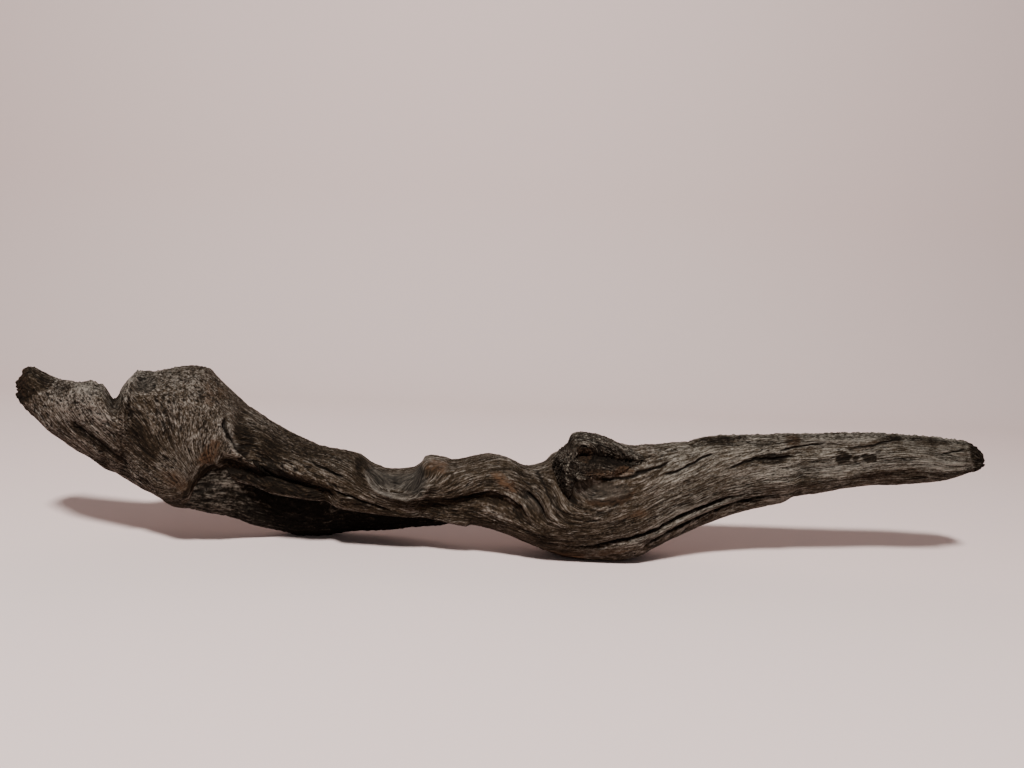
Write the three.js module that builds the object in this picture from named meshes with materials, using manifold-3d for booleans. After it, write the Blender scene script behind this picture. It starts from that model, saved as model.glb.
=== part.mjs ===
// A weathered driftwood log with a broken root arm, a burl, a belly and a tapering limb.
// Millimetres, +Z up. X runs along the log, the front (-Y) is the side seen in the photograph.
// The origin lies on the ground under the middle of the log's bounding box.
import * as THREE from 'three';
import Module from 'manifold-3d';

const wasm = await Module();
wasm.setup();

// Driving dimensions
const cutArm = -490;            // x of the notch where the root arm leaves the burl
const cutLimb = 175;            // x where the limb leaves the fork with the knot stub
const gap = 0.3;                // clear gap between neighbouring pieces
const tipLeft = -615;           // x of the broken end of the root arm
const tipRight = 615;           // x of the worn end of the limb
const shiftY = -10;             // moves the log so that its box is centred over the origin

// Outline of the log: [x, value] pairs, joined by smooth curves.
const topLine = [
  [-615, 188], [-610, 195], [-604, 206], [-596, 210], [-586, 204], [-567, 195], [-554, 194],
  [-543, 194], [-531, 196], [-519, 199], [-511, 200], [-504, 196], [-498, 194], [-490, 181],
  [-486, 175], [-482, 180], [-476, 192], [-470, 203], [-462, 211], [-452, 209], [-443, 211],
  [-432, 213], [-416, 215], [-396, 213], [-386, 205], [-378, 198], [-371, 192], [-361, 182],
  [-347, 169], [-332, 160], [-318, 151], [-293, 135], [-269, 127], [-244, 122], [-220, 120],
  [-201, 117], [-191, 111], [-185, 107], [-176, 104], [-164, 100], [-146, 99], [-131, 100],
  [-121, 106], [-114, 113], [-107, 115], [-96, 112], [-81, 111], [-64, 115], [-48, 121],
  [-33, 125], [-21, 124], [-11, 121], [0, 117], [13, 113], [28, 116], [39, 121], [48, 130],
  [60, 135], [80, 143], [100, 145], [125, 146], [150, 144], [161, 146], [180, 148], [199, 150],
  [219, 151], [226, 153], [244, 158], [269, 162], [295, 165], [333, 167], [372, 168], [411, 171],
  [450, 173], [489, 174], [522, 174], [549, 171], [569, 168], [583, 167], [594, 164], [604, 158],
  [610, 153], [615, 144],
];
const bottomLine = [
  [-615, 174], [-608, 162], [-598, 152], [-578, 136], [-552, 120], [-525, 98], [-504, 80],
  [-490, 79], [-472, 67], [-448, 59], [-432, 52], [-417, 44], [-402, 42], [-392, 44], [-384, 62],
  [-374, 80], [-364, 90], [-355, 92], [-345, 83], [-334, 78], [-322, 75], [-309, 71],
  [-297, 68], [-268, 64], [-227, 57], [-178, 52], [-138, 46],
  [-107, 42], [-59, 38], [-35, 33], [-16, 28], [4, 22], [24, 14], [43, 6], [63, 0], [89, -3],
  [115, -5], [135, -6], [154, -3], [167, 2], [186, 12], [204, 22], [223, 33], [242, 43], [267, 53],
  [292, 61], [318, 69], [343, 76], [352, 80], [358, 85], [368, 88], [394, 92], [420, 96],
  [446, 99], [472, 104], [498, 108], [524, 112], [551, 114], [571, 118], [590, 123], [602, 127],
  [609, 131], [615, 138],
];
const frontLine = [
  [-615, -14], [-606, -22], [-588, -28], [-560, -34], [-530, -41], [-505, -47], [-490, -49],
  [-475, -50], [-455, -53], [-425, -57], [-395, -58], [-370, -55], [-345, -50], [-315, -47], [-250, -46],
  [-150, -46], [-100, -48], [-50, -51], [0, -55], [50, -60], [100, -62], [150, -58],
  [200, -48], [250, -40], [300, -34], [350, -29], [400, -27], [450, -25], [500, -23],
  [550, -21], [583, -18], [604, -14], [615, -9],
];
const backLine = [
  [-615, 15], [-606, 22], [-588, 27], [-560, 32], [-530, 37], [-500, 46], [-480, 55],
  [-455, 69], [-425, 82], [-395, 87], [-370, 84], [-345, 75], [-315, 66], [-290, 60],
  [-250, 55], [-200, 52], [-150, 49], [-100, 48], [-50, 48], [0, 50], [50, 52], [100, 53],
  [150, 51], [200, 47], [250, 42], [300, 38], [350, 35], [400, 32], [450, 31], [500, 30],
  [550, 27], [583, 24], [604, 20], [615, 14],
];
// Height of the widest point, as a share of the section height.
const beltLine = [
  [-615, 0.5], [-490, 0.45], [-420, 0.4], [-380, 0.42], [-330, 0.45], [-250, 0.45],
  [-100, 0.5], [50, 0.5], [120, 0.46], [200, 0.5], [400, 0.52], [615, 0.5],
];
// How far the section leans back (+) per millimetre of height.
const leanLine = [
  [-615, 0.02], [-560, -0.18], [-530, -0.34], [-505, -0.46], [-490, -0.5], [-476, -0.42],
  [-455, -0.12], [-415, 0.04], [-385, 0.02], [-355, -0.04], [-270, 0.02], [-60, 0.02], [100, 0.04],
  [250, 0], [615, 0],
];
// Squareness of the section: 2 is an ellipse.
const squareLine = [
  [-615, 2.5], [-530, 2.7], [-505, 2.9], [-490, 3.3], [-475, 2.9], [-450, 2.7], [-420, 2.6],
  [-380, 2.4], [-340, 2.3], [-300, 2.4], [-100, 2.4], [0, 2.2], [150, 2.1], [350, 2.2], [560, 2.4], [615, 2.2],
];

// Rounded lumps (rise > 0) and hollows (rise < 0): centre, reach and rise in millimetres.
const lumps = [
  { name: 'scooped facet', at: [-448, -34, 203], reach: [17, 22, 11], rise: -6 },
  { name: 'crest hump', at: [-400, 5, 214], reach: [26, 30, 16], rise: 2 },
  { name: 'upper recess', at: [-322, -44, 142], reach: [13, 20, 13], rise: -6 },
  { name: 'lower recess', at: [-300, -44, 121], reach: [19, 20, 11], rise: -7 },
  { name: 'bowl', at: [-146, -34, 98], reach: [26, 22, 14], rise: -23 },
  { name: 'bowl knob', at: [-188, -28, 116], reach: [7, 12, 8], rise: 4 },
  { name: 'swirl lump', at: [-74, -40, 108], reach: [34, 22, 18], rise: 8 },
  { name: 'swirl corner', at: [-113, -22, 119], reach: [8, 14, 9], rise: 5 },
  { name: 'rust nose', at: [-14, -46, 104], reach: [14, 18, 12], rise: 5 },
  { name: 'saddle', at: [30, -38, 108], reach: [18, 26, 22], rise: -7 },
  { name: 'belly cheek', at: [40, -50, 48], reach: [40, 24, 26], rise: 3 },
  { name: 'stub bed', at: [112, -46, 96], reach: [40, 22, 12], rise: -4 },
  { name: 'fork shoulder', at: [196, -38, 120], reach: [34, 22, 20], rise: 4 },
  { name: 'pale knob', at: [333, -33, 112], reach: [22, 16, 12], rise: 4 },
  { name: 'back boss', at: [-300, 58, 120], reach: [40, 24, 26], rise: 7 },
  { name: 'back hollow', at: [-180, 44, 88], reach: [46, 22, 18], rise: -6 },
  { name: 'back swell', at: [-40, 42, 84], reach: [50, 26, 30], rise: 6 },
  { name: 'back scoop', at: [90, 44, 96], reach: [44, 24, 24], rise: -7 },
  { name: 'burl back dent', at: [-440, 62, 150], reach: [32, 30, 30], rise: -8 },
  { name: 'limb back swell', at: [360, 26, 130], reach: [50, 18, 20], rise: 4 },
];
// Ridges and grooves drawn on the front: line points [x, z], width and rise.
const folds = [
  { name: 'rib', width: 7, rise: 5,
    line: [[-353, 102], [-344, 91], [-322, 82], [-300, 74], [-260, 71], [-229, 64],
      [-197, 59], [-155, 54], [-91, 49], [-60, 45]] },
  { name: 'valley over the rib', width: 13, rise: -14,
    line: [[-344, 106], [-318, 97], [-285, 89], [-256, 83], [-232, 73]] },
  { name: 'bowl lip', width: 7, rise: 6,
    line: [[-189, 114], [-186, 102], [-177, 90], [-166, 82], [-149, 77], [-132, 75],
      [-114, 81], [-106, 92]] },
  { name: 'flow ridge', width: 9, rise: 5,
    line: [[-13, 124], [-8, 115], [5, 103], [25, 91], [34, 78], [43, 65], [54, 56]] },
  { name: 'lens groove', width: 9, rise: -4,
    line: [[12, 86], [22, 74], [31, 62]] },
  { name: 'fold beside the stub', width: 9, rise: -9,
    line: [[48, 140], [52, 120], [56, 102], [66, 86]] },
  { name: 'limb edge', width: 11, rise: 3,
    line: [[352, 108], [376, 119], [420, 128], [484, 134], [569, 135]] },
  { name: 'rough groove', width: 8, rise: -3,
    line: [[301, 142], [356, 148], [393, 156], [432, 160], [536, 160]] },
];
// Steps on the front: the ground drops by `drop` on the right of the line's run.
const steps = [
  { name: 'burl step', soft: 6, reach: 34, drop: 8,
    line: [[-318, 116], [-330, 130], [-340, 149], [-347, 169], [-353, 188], [-361, 205],
      [-370, 225]] },
  { name: 'swirl shelf', soft: 7, reach: 24, drop: 10,
    line: [[-111, 75], [-93, 76], [-72, 80], [-51, 88], [-32, 90], [-15, 86], [5, 74],
      [16, 57], [28, 47]] },
];

// Small helpers
const clamp01 = (t) => Math.min(Math.max(t, 0), 1);
const smooth = (a, b, t) => {
  const s = clamp01((t - a) / (b - a));
  return s * s * (3 - 2 * s);
};

// Smooth curve through [x, value] points that never overshoots them.
function curve(points) {
  const secant = [];
  for (let i = 0; i < points.length - 1; i++) {
    secant.push((points[i + 1][1] - points[i][1]) / (points[i + 1][0] - points[i][0]));
  }
  const slope = points.map((_, i) => {
    const left = secant[Math.max(i - 1, 0)];
    const right = secant[Math.min(i, secant.length - 1)];
    return left * right <= 0 ? 0 : (2 * left * right) / (left + right);
  });
  return (x) => {
    let i = 0;
    while (i < points.length - 2 && x > points[i + 1][0]) i++;
    const width = points[i + 1][0] - points[i][0];
    const t = clamp01((x - points[i][0]) / width);
    const [a, b] = [points[i][1], points[i + 1][1]];
    const bend = t * t * (3 - 2 * t);
    const lift = width * (slope[i] * t * (1 - t) * (1 - t) - slope[i + 1] * t * t * (1 - t));
    return a + (b - a) * bend + lift;
  };
}

// Distance from (x, z) to a polyline, and the side it lies on: +1 on the right of its run.
function toLine(line, x, z) {
  let best = { far: Infinity, side: 1 };
  for (let i = 0; i < line.length - 1; i++) {
    const [ax, az] = line[i];
    const [bx, bz] = line[i + 1];
    const [dx, dz] = [bx - ax, bz - az];
    const t = clamp01(((x - ax) * dx + (z - az) * dz) / (dx * dx + dz * dz));
    const [ex, ez] = [x - ax - t * dx, z - az - t * dz];
    const far = Math.hypot(ex, ez);
    if (far < best.far) {
      best = { far, side: ex * dz - ez * dx >= 0 ? 1 : -1 };
    }
  }
  return best;
}

// Broad, slow waves that keep the surface from looking turned.
function waves(x, y, z) {
  return 1.5 * Math.sin(x / 31 + y / 24 + 0.6) * Math.cos(z / 27 - y / 33)
    + 1.1 * Math.sin(x / 17 - z / 19 + 1.9) * Math.cos(y / 21 + 0.4)
    + 0.7 * Math.sin(y / 11 + z / 13 + x / 43);
}

// The log's skin
const top = curve(topLine);
const bottom = curve(bottomLine);
const front = curve(frontLine);
const back = curve(backLine);
const belt = curve(beltLine);
const lean = curve(leanLine);
const square = curve(squareLine);

// How far the carved features lift the point (x, y, z); facing is 1 on the front, 0 behind.
function relief(x, y, z, facing) {
  let rise = waves(x, y, z);
  for (const lump of lumps) {
    const d = [x, y, z].map((v, i) => (v - lump.at[i]) / lump.reach[i]);
    rise += lump.rise * Math.exp(-(d[0] ** 2 + d[1] ** 2 + d[2] ** 2));
  }
  for (const fold of folds) {
    const { far } = toLine(fold.line, x, z);
    rise += facing * fold.rise * Math.exp(-((far / fold.width) ** 2));
  }
  for (const step of steps) {
    const { far, side } = toLine(step.line, x, z);
    const past = smooth(-step.soft, step.soft, side * far);
    rise -= facing * step.drop * past * Math.exp(-((Math.max(side * far, 0) / step.reach) ** 2));
  }
  return rise;
}

// A point of a squared-off oval: turn 0 is the front, a quarter turn the top.
function ovalPoint(box, turn, grow, shape) {
  const [c, s] = [Math.cos(turn), Math.sin(turn)];
  const u = Math.sign(c) * Math.abs(c) ** (2 / box.square);
  const v = Math.sign(s) * Math.abs(s) ** (2 / box.square);
  const halfY = u > 0 ? box.midY - box.front : box.back - box.midY;
  const halfZ = v > 0 ? box.top - box.midZ : box.midZ - box.bottom;
  let ny = (-Math.sign(u) * Math.abs(u) ** (box.square - 1)) / halfY;
  let nz = (Math.sign(v) * Math.abs(v) ** (box.square - 1)) / halfZ;
  const length = Math.hypot(ny, nz);
  ny /= length;
  nz /= length;
  let z = box.midZ + v * halfZ;
  let y = box.midY - u * halfY + box.lean * (z - box.midZ);
  const rise = grow + shape(y, z, smooth(-0.15, 0.45, -ny));
  y += ny * rise;
  z += nz * rise;
  return [y, z];
}

// The log's section at x, as a box of half widths for ovalPoint.
function logBox(x) {
  const [hi, lo] = [top(x), bottom(x)];
  return {
    top: hi,
    bottom: lo,
    front: front(x),
    back: back(x),
    midY: 0.5 * (front(x) + back(x)),
    midZ: lo + belt(x) * (hi - lo),
    lean: lean(x),
    square: square(x),
  };
}

// A point of the log's skin. The notch runs slantwise through the log, and both broken ends are
// slanted towards the front.
function logPoint(x, turn, grow) {
  const fade = smooth(0, 14, x - tipLeft) * smooth(0, 14, tipRight - x);
  const [y, z] = ovalPoint(logBox(x), turn, grow, (py, pz, facing) => (
    relief(x, py, pz, facing) * (0.35 + 0.65 * fade)
  ));
  const slantLeft = 0.65 * smooth(-560, tipLeft, x) * Math.max(-y, 0);
  const slantRight = 0.9 * smooth(565, tipRight, x) * Math.max(-y, 0);
  const notch = Math.exp(-(((x + 488) / 32) ** 2)) * smooth(92, 132, z);
  const slantNotch = 0.46 * notch * Math.max(-25 - y, -30);
  return [x + slantLeft - slantRight + slantNotch, y, z];
}

// Solids
// Closed skin from rings of points: wrapped sides and a fan over each end.
function skin(rings) {
  const around = rings[0].length;
  const points = rings.flat();
  const faces = [];
  for (let i = 0; i < rings.length - 1; i++) {
    for (let j = 0; j < around; j++) {
      const a = i * around + j;
      const b = i * around + ((j + 1) % around);
      faces.push([a, a + around, b + around], [a, b + around, b]);
    }
  }
  const middle = (ring) => [0, 1, 2].map((k) => (
    ring.reduce((sum, p) => sum + p[k], 0) / ring.length
  ));
  const first = points.push(middle(rings[0])) - 1;
  const last = points.push(middle(rings[rings.length - 1])) - 1;
  const end = (rings.length - 1) * around;
  for (let j = 0; j < around; j++) {
    const k = (j + 1) % around;
    faces.push([first, j, k], [last, end + k, end + j]);
  }
  return new wasm.Manifold(new wasm.Mesh({
    numProp: 3,
    vertProperties: new Float32Array(points.flat()),
    triVerts: new Uint32Array(faces.flat()),
  }));
}

// Evenly spread values over spans given as [start, end, count].
const spread = (spans) => spans.flatMap(([a, b, n], s) => (
  Array.from({ length: n + (s === spans.length - 1 ? 1 : 0) }, (_, i) => a + ((b - a) * i) / n)
));
const turns = (n) => Array.from({ length: n }, (_, j) => (2 * Math.PI * j) / n);

const logSolid = (spans, around, grow = 0) => skin(
  spread(spans).map((x) => turns(around).map((turn) => logPoint(x, turn, grow))),
);

// Everything below the ground plane is worn off flat.
const onGround = (solid) => solid.trimByPlane([0, 0, 1], 0);

// Under root
// A root that leaves the burl, runs back under the waist and touches the ground as a foot.
const rootTop = curve([[-446, 84], [-400, 112], [-350, 122], [-300, 108], [-250, 94],
  [-200, 86], [-150, 78], [-100, 70], [-52, 54]]);
const rootBottom = curve([[-446, 64], [-430, 57], [-415, 51], [-400, 44], [-388, 39], [-378, 36],
  [-350, 28], [-330, 18], [-305, 8], [-287, 1], [-276, -2.5], [-244, -2.5], [-228, 1],
  [-197, 6], [-171, 8], [-123, 14], [-93, 19], [-70, 26], [-52, 36]]);
const rootMid = curve([[-446, 2], [-400, 0], [-370, 3], [-345, 9], [-320, 18], [-290, 26],
  [-262, 31], [-190, 33], [-150, 32], [-110, 29], [-52, 20]]);
const rootHalf = curve([[-446, 12], [-425, 34], [-400, 45], [-370, 46], [-345, 42],
  [-320, 34], [-290, 28], [-262, 27], [-230, 21], [-190, 18], [-150, 16], [-110, 13],
  [-80, 10], [-52, 5]]);

function rootPoint(x, turn) {
  const box = {
    top: rootTop(x),
    bottom: rootBottom(x),
    front: rootMid(x) - rootHalf(x),
    back: rootMid(x) + rootHalf(x),
    midY: rootMid(x),
    midZ: 0.5 * (rootTop(x) + rootBottom(x)),
    lean: -0.08,
    square: 2.6,
  };
  const [y, z] = ovalPoint(box, turn, 0, (py, pz) => 0.8 * waves(x, py, pz));
  return [x, y, z];
}

// Knot stub
// The snag of a broken side branch, seated in the log above the belly.
const stubTop = curve([[44, 124], [48, 134], [52, 139], [57, 143], [62, 147], [65, 153],
  [67, 158], [73, 161], [82, 162], [98, 160], [117, 155], [136, 147], [150, 141], [160, 136],
  [168, 130]]);
const stubBottom = curve([[44, 118], [50, 104], [57, 93], [64, 87], [70, 95], [79, 107],
  [92, 113], [110, 115], [126, 117], [145, 120], [160, 124], [168, 127]]);
const stubFront = curve([[44, -30], [50, -45], [60, -57], [76, -63], [98, -61], [120, -55],
  [136, -48], [150, -40], [160, -34], [168, -28]]);
const stubBack = curve([[44, -24], [56, 2], [80, 14], [115, 10], [150, -8], [168, -24]]);
const stubFolds = [
  { name: 'hollow', width: 12, rise: -14,
    line: [[80, 143], [96, 141], [116, 138], [140, 132]] },
  { name: 'flange', width: 6, rise: 3,
    line: [[70, 158], [84, 158], [104, 155], [126, 149], [142, 143]] },
  { name: 'lower lip', width: 6, rise: 5,
    line: [[72, 117], [88, 121], [109, 122], [139, 125]] },
  { name: 'left rim', width: 7, rise: 4,
    line: [[64, 88], [57, 106], [57, 128], [66, 146]] },
];

function stubPoint(x, turn, grow) {
  const box = {
    top: stubTop(x),
    bottom: stubBottom(x),
    front: stubFront(x),
    back: stubBack(x),
    midY: 0.5 * (stubFront(x) + stubBack(x)),
    midZ: 0.5 * (stubTop(x) + stubBottom(x)),
    lean: 0.12,
    square: 2.5,
  };
  const [y, z] = ovalPoint(box, turn, grow, (py, pz, facing) => (
    stubFolds.reduce((rise, fold) => {
      const { far } = toLine(fold.line, x, pz);
      return rise + facing * fold.rise * Math.exp(-((far / fold.width) ** 2));
    }, 0)
  ));
  return [x, y, z];
}

const stubSolid = (grow) => skin(
  spread([[44 - grow, 70, 5], [70, 140, 8], [140, 168 + grow, 3]])
    .map((x) => turns(22).map((turn) => stubPoint(x, turn, grow))),
);

// Pieces
const half = gap / 2;
const trunkAround = 34;
const trunkSpans = [[cutArm + half, -455, 5], [-455, -380, 7], [-380, -310, 7],
  [-310, -200, 10], [-200, -100, 11], [-100, 70, 17], [70, cutLimb - half, 9]];

function leftArm() {
  return logSolid([[tipLeft, -590, 3], [-590, -512, 7], [-512, cutArm - half, 4]], trunkAround);
}

function trunk() {
  return onGround(logSolid(trunkSpans, trunkAround).subtract(stubSolid(gap)));
}

function rightLimb() {
  return logSolid([[cutLimb + half, 380, 15], [380, 570, 8], [570, tipRight, 4]], 24);
}

function underRoot() {
  const root = skin(
    spread([[-446, -420, 3], [-420, -70, 23], [-70, -52, 2]])
      .map((x) => turns(18).map((turn) => rootPoint(x, turn))),
  );
  return onGround(root.subtract(logSolid(trunkSpans, trunkAround, gap)));
}

// Meshes
function mesh(name, solid, colour, roughness) {
  const { vertProperties, triVerts } = solid.getMesh();
  const geometry = new THREE.BufferGeometry();
  const material = new THREE.MeshStandardMaterial({ color: colour, roughness, metalness: 0 });
  geometry.setAttribute('position', new THREE.BufferAttribute(vertProperties, 3));
  geometry.setIndex(new THREE.BufferAttribute(triVerts, 1));
  geometry.computeVertexNormals();
  const made = new THREE.Mesh(geometry, material);
  made.name = name;
  made.position.set(0, shiftY, 0);
  return made;
}

const driftwood = new THREE.Group();
driftwood.name = 'driftwood';
driftwood.add(mesh('left_arm', leftArm(), '#6b5f54', 0.92));
driftwood.add(mesh('trunk', trunk(), '#6f655b', 0.9));
driftwood.add(mesh('right_limb', rightLimb(), '#77706a', 0.9));
driftwood.add(mesh('knot_stub', stubSolid(0), '#5d4f45', 0.93));
driftwood.add(mesh('under_root', underRoot(), '#54493f', 0.94));

export default driftwood;
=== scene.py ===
"""A weathered driftwood log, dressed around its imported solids.

Shapes are worked out in millimetres, in the frame of the solids, and written in metres.
X runs along the log from the broken root arm to the limb, the front (-Y) is the side seen from
the camera, and +Z is up. Drawn lines and patches are [x, z] points as seen from the front.
"""
import math

import bpy
import numpy as np
from mathutils import Matrix, Vector


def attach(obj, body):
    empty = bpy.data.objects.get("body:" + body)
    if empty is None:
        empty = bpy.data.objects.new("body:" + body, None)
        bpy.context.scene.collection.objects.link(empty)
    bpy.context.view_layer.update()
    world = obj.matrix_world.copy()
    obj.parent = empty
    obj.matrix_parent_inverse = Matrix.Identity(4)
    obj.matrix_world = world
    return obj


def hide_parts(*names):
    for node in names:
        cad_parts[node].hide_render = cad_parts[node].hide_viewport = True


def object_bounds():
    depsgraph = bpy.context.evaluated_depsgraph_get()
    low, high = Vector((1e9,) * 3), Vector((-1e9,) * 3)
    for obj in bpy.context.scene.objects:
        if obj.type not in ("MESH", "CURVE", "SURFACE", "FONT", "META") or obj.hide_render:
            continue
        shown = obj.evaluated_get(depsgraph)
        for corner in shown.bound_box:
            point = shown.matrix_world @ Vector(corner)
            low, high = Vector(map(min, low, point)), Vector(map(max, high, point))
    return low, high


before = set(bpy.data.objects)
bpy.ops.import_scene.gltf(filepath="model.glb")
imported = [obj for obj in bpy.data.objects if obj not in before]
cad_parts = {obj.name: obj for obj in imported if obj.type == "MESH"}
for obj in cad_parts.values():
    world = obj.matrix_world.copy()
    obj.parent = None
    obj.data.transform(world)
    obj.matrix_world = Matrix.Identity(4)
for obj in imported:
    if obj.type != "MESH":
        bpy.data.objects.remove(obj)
cad_box = [list(corner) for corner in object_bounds()]

# Driving dimensions: the log's tips and the cuts between its pieces, the ends of the root and of
# the stub, and how far everything drawn is moved along Y
MM = 0.001
TIP_LEFT = -615
TIP_RIGHT = 615
CUT_ARM = -490
CUT_WAIST = -235
CUT_LIMB = 175
ROOT_LEFT = -446
ROOT_RIGHT = -52
STUB_LEFT = 44
STUB_RIGHT = 168
SHIFT_Y = -10
# The broken ends and the notch run slantwise, by so many mm along X for each mm in Y: the ends
# from where their slant starts, the notch round its middle and from its foot upwards
SLANT_LEFT = 0.65
SLANT_LEFT_FROM = -560
SLANT_RIGHT = 0.9
SLANT_RIGHT_FROM = 565
SLANT_NOTCH = 0.46
NOTCH_X = -488
NOTCH_REACH = 32
NOTCH_FOOT = 92
NOTCH_FULL = 132
# The carving grows shallower over this length at each tip
END_FADE = 14
# The photograph's camera, in metres, degrees and pixels
CAMERA_PLACE = (-0.060, -0.961, 0.3599)
CAMERA_YAW = -3.01
CAMERA_PITCH = 8.58
CAMERA_ROLL = 3.13
FOCAL = 769.2
PHOTO_WIDTH = 1024

# The log's outline from the front, its front and back from above, the share of its height at
# which it is widest, how its section leans back with height and how square it is
TOP_LINE = [
    [-615, 188], [-610, 195], [-604, 206], [-596, 210], [-586, 204], [-567, 195], [-554, 194],
    [-543, 194], [-531, 196], [-519, 199], [-511, 200], [-504, 196], [-498, 194], [-490, 181],
    [-486, 175], [-482, 180], [-476, 192], [-470, 203], [-462, 211], [-452, 209], [-443, 211],
    [-432, 213], [-416, 215], [-396, 213], [-386, 205], [-378, 198], [-371, 192], [-361, 182],
    [-347, 169], [-332, 160], [-318, 151], [-293, 135], [-269, 127], [-244, 122], [-220, 120],
    [-201, 117], [-191, 111], [-185, 107], [-176, 104], [-164, 100], [-146, 99], [-131, 100], [-121, 106],
    [-116, 114], [-108, 116], [-92, 114], [-81, 111], [-64, 115], [-48, 121], [-33, 125], [-21, 124],
    [-11, 121], [0, 117], [13, 113], [28, 116], [39, 121], [48, 130], [60, 135], [80, 143], [100, 145],
    [125, 146], [150, 144], [161, 146], [180, 148], [199, 150], [219, 151], [226, 153], [244, 158],
    [269, 162], [295, 165], [333, 167], [372, 168], [411, 171], [450, 173], [489, 174], [522, 174],
    [549, 171], [569, 168], [583, 167], [594, 164], [604, 158], [610, 153], [615, 144],
]
BOTTOM_LINE = [
    [-615, 174], [-608, 162], [-598, 152], [-578, 136], [-552, 120], [-525, 98], [-504, 80], [-490, 79],
    [-472, 67], [-448, 59], [-432, 52], [-417, 44], [-402, 42], [-392, 44], [-384, 62], [-374, 80],
    [-364, 90], [-355, 92], [-345, 83], [-334, 78], [-322, 75], [-309, 71], [-297, 68], [-268, 64],
    [-227, 57], [-178, 52], [-138, 46], [-107, 42], [-59, 38], [-35, 33], [-16, 28], [4, 22], [24, 14],
    [43, 6], [63, 0], [89, -3], [115, -5], [135, -6], [154, -3], [167, 2], [186, 12], [204, 22],
    [223, 33], [242, 43], [267, 53], [292, 61], [318, 69], [343, 76], [352, 80], [358, 85], [368, 88],
    [394, 92], [420, 96], [446, 99], [472, 104], [498, 108], [524, 112], [551, 114], [571, 118],
    [590, 123], [602, 127], [609, 131], [615, 138],
]
FRONT_LINE = [
    [-615, -14], [-606, -22], [-588, -28], [-560, -34], [-530, -41], [-505, -47], [-490, -49],
    [-475, -50], [-455, -53], [-425, -57], [-395, -58], [-370, -55], [-345, -50], [-315, -47],
    [-250, -46], [-150, -46], [-100, -48], [-50, -51], [0, -55], [50, -60], [100, -62], [150, -58],
    [200, -48], [250, -40], [300, -34], [350, -29], [400, -27], [450, -25], [500, -23], [550, -21],
    [583, -18], [604, -14], [615, -9],
]
BACK_LINE = [
    [-615, 15], [-606, 22], [-588, 27], [-560, 32], [-530, 37], [-500, 46], [-480, 55], [-455, 69],
    [-425, 82], [-395, 87], [-370, 84], [-345, 75], [-315, 66], [-290, 60], [-250, 55], [-200, 52],
    [-150, 49], [-100, 48], [-50, 48], [0, 50], [50, 52], [100, 53], [150, 51], [200, 47], [250, 42],
    [300, 38], [350, 35], [400, 32], [450, 31], [500, 30], [550, 27], [583, 24], [604, 20], [615, 14],
]
BELT_LINE = [
    [-615, 0.5], [-490, 0.45], [-420, 0.4], [-380, 0.42], [-330, 0.45], [-250, 0.45], [-100, 0.5],
    [50, 0.5], [120, 0.46], [200, 0.5], [400, 0.52], [615, 0.5],
]
LEAN_LINE = [
    [-615, 0.02], [-560, -0.18], [-530, -0.34], [-505, -0.46], [-490, -0.5], [-476, -0.42], [-455, -0.12],
    [-415, 0.04], [-385, 0.02], [-355, -0.04], [-270, 0.02], [-60, 0.02], [100, 0.04], [250, 0], [615, 0],
]
SQUARE_LINE = [
    [-615, 2.5], [-530, 2.7], [-505, 2.9], [-490, 3.3], [-475, 2.9], [-450, 2.7], [-420, 2.6],
    [-380, 2.4], [-340, 2.3], [-300, 2.4], [-100, 2.4], [0, 2.2], [150, 2.1], [350, 2.2], [560, 2.4],
    [615, 2.2],
]

# Lumps (rise above 0) and hollows: centre, reach and rise
LUMPS = [
    ("scooped facet", (-448, -34, 203), (17, 22, 11), -6),
    ("crest hump", (-400, 5, 214), (26, 30, 16), 2),
    ("upper recess", (-322, -44, 142), (13, 20, 13), -6),
    ("lower recess", (-300, -44, 121), (19, 20, 11), -7),
    ("bowl", (-146, -34, 98), (26, 22, 14), -23),
    ("bowl knob", (-188, -28, 116), (7, 12, 8), 4),
    ("swirl lump", (-74, -40, 108), (34, 22, 18), 8),
    ("swirl corner", (-113, -22, 119), (8, 14, 9), 5),
    ("rust nose", (-14, -46, 104), (14, 18, 12), 5),
    ("saddle", (30, -38, 108), (18, 26, 22), -7),
    ("belly cheek", (40, -50, 48), (40, 24, 26), 3),
    ("stub bed", (112, -46, 96), (40, 22, 12), -4),
    ("fork shoulder", (196, -38, 120), (34, 22, 20), 4),
    ("pale knob", (333, -33, 112), (22, 16, 12), 4),
    ("back boss", (-300, 58, 120), (40, 24, 26), 7),
    ("back hollow", (-180, 44, 88), (46, 22, 18), -6),
    ("back swell", (-40, 42, 84), (50, 26, 30), 6),
    ("back scoop", (90, 44, 96), (44, 24, 24), -7),
    ("burl back dent", (-440, 62, 150), (32, 30, 30), -8),
    ("limb back swell", (360, 26, 130), (50, 18, 20), 4),
]
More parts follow.
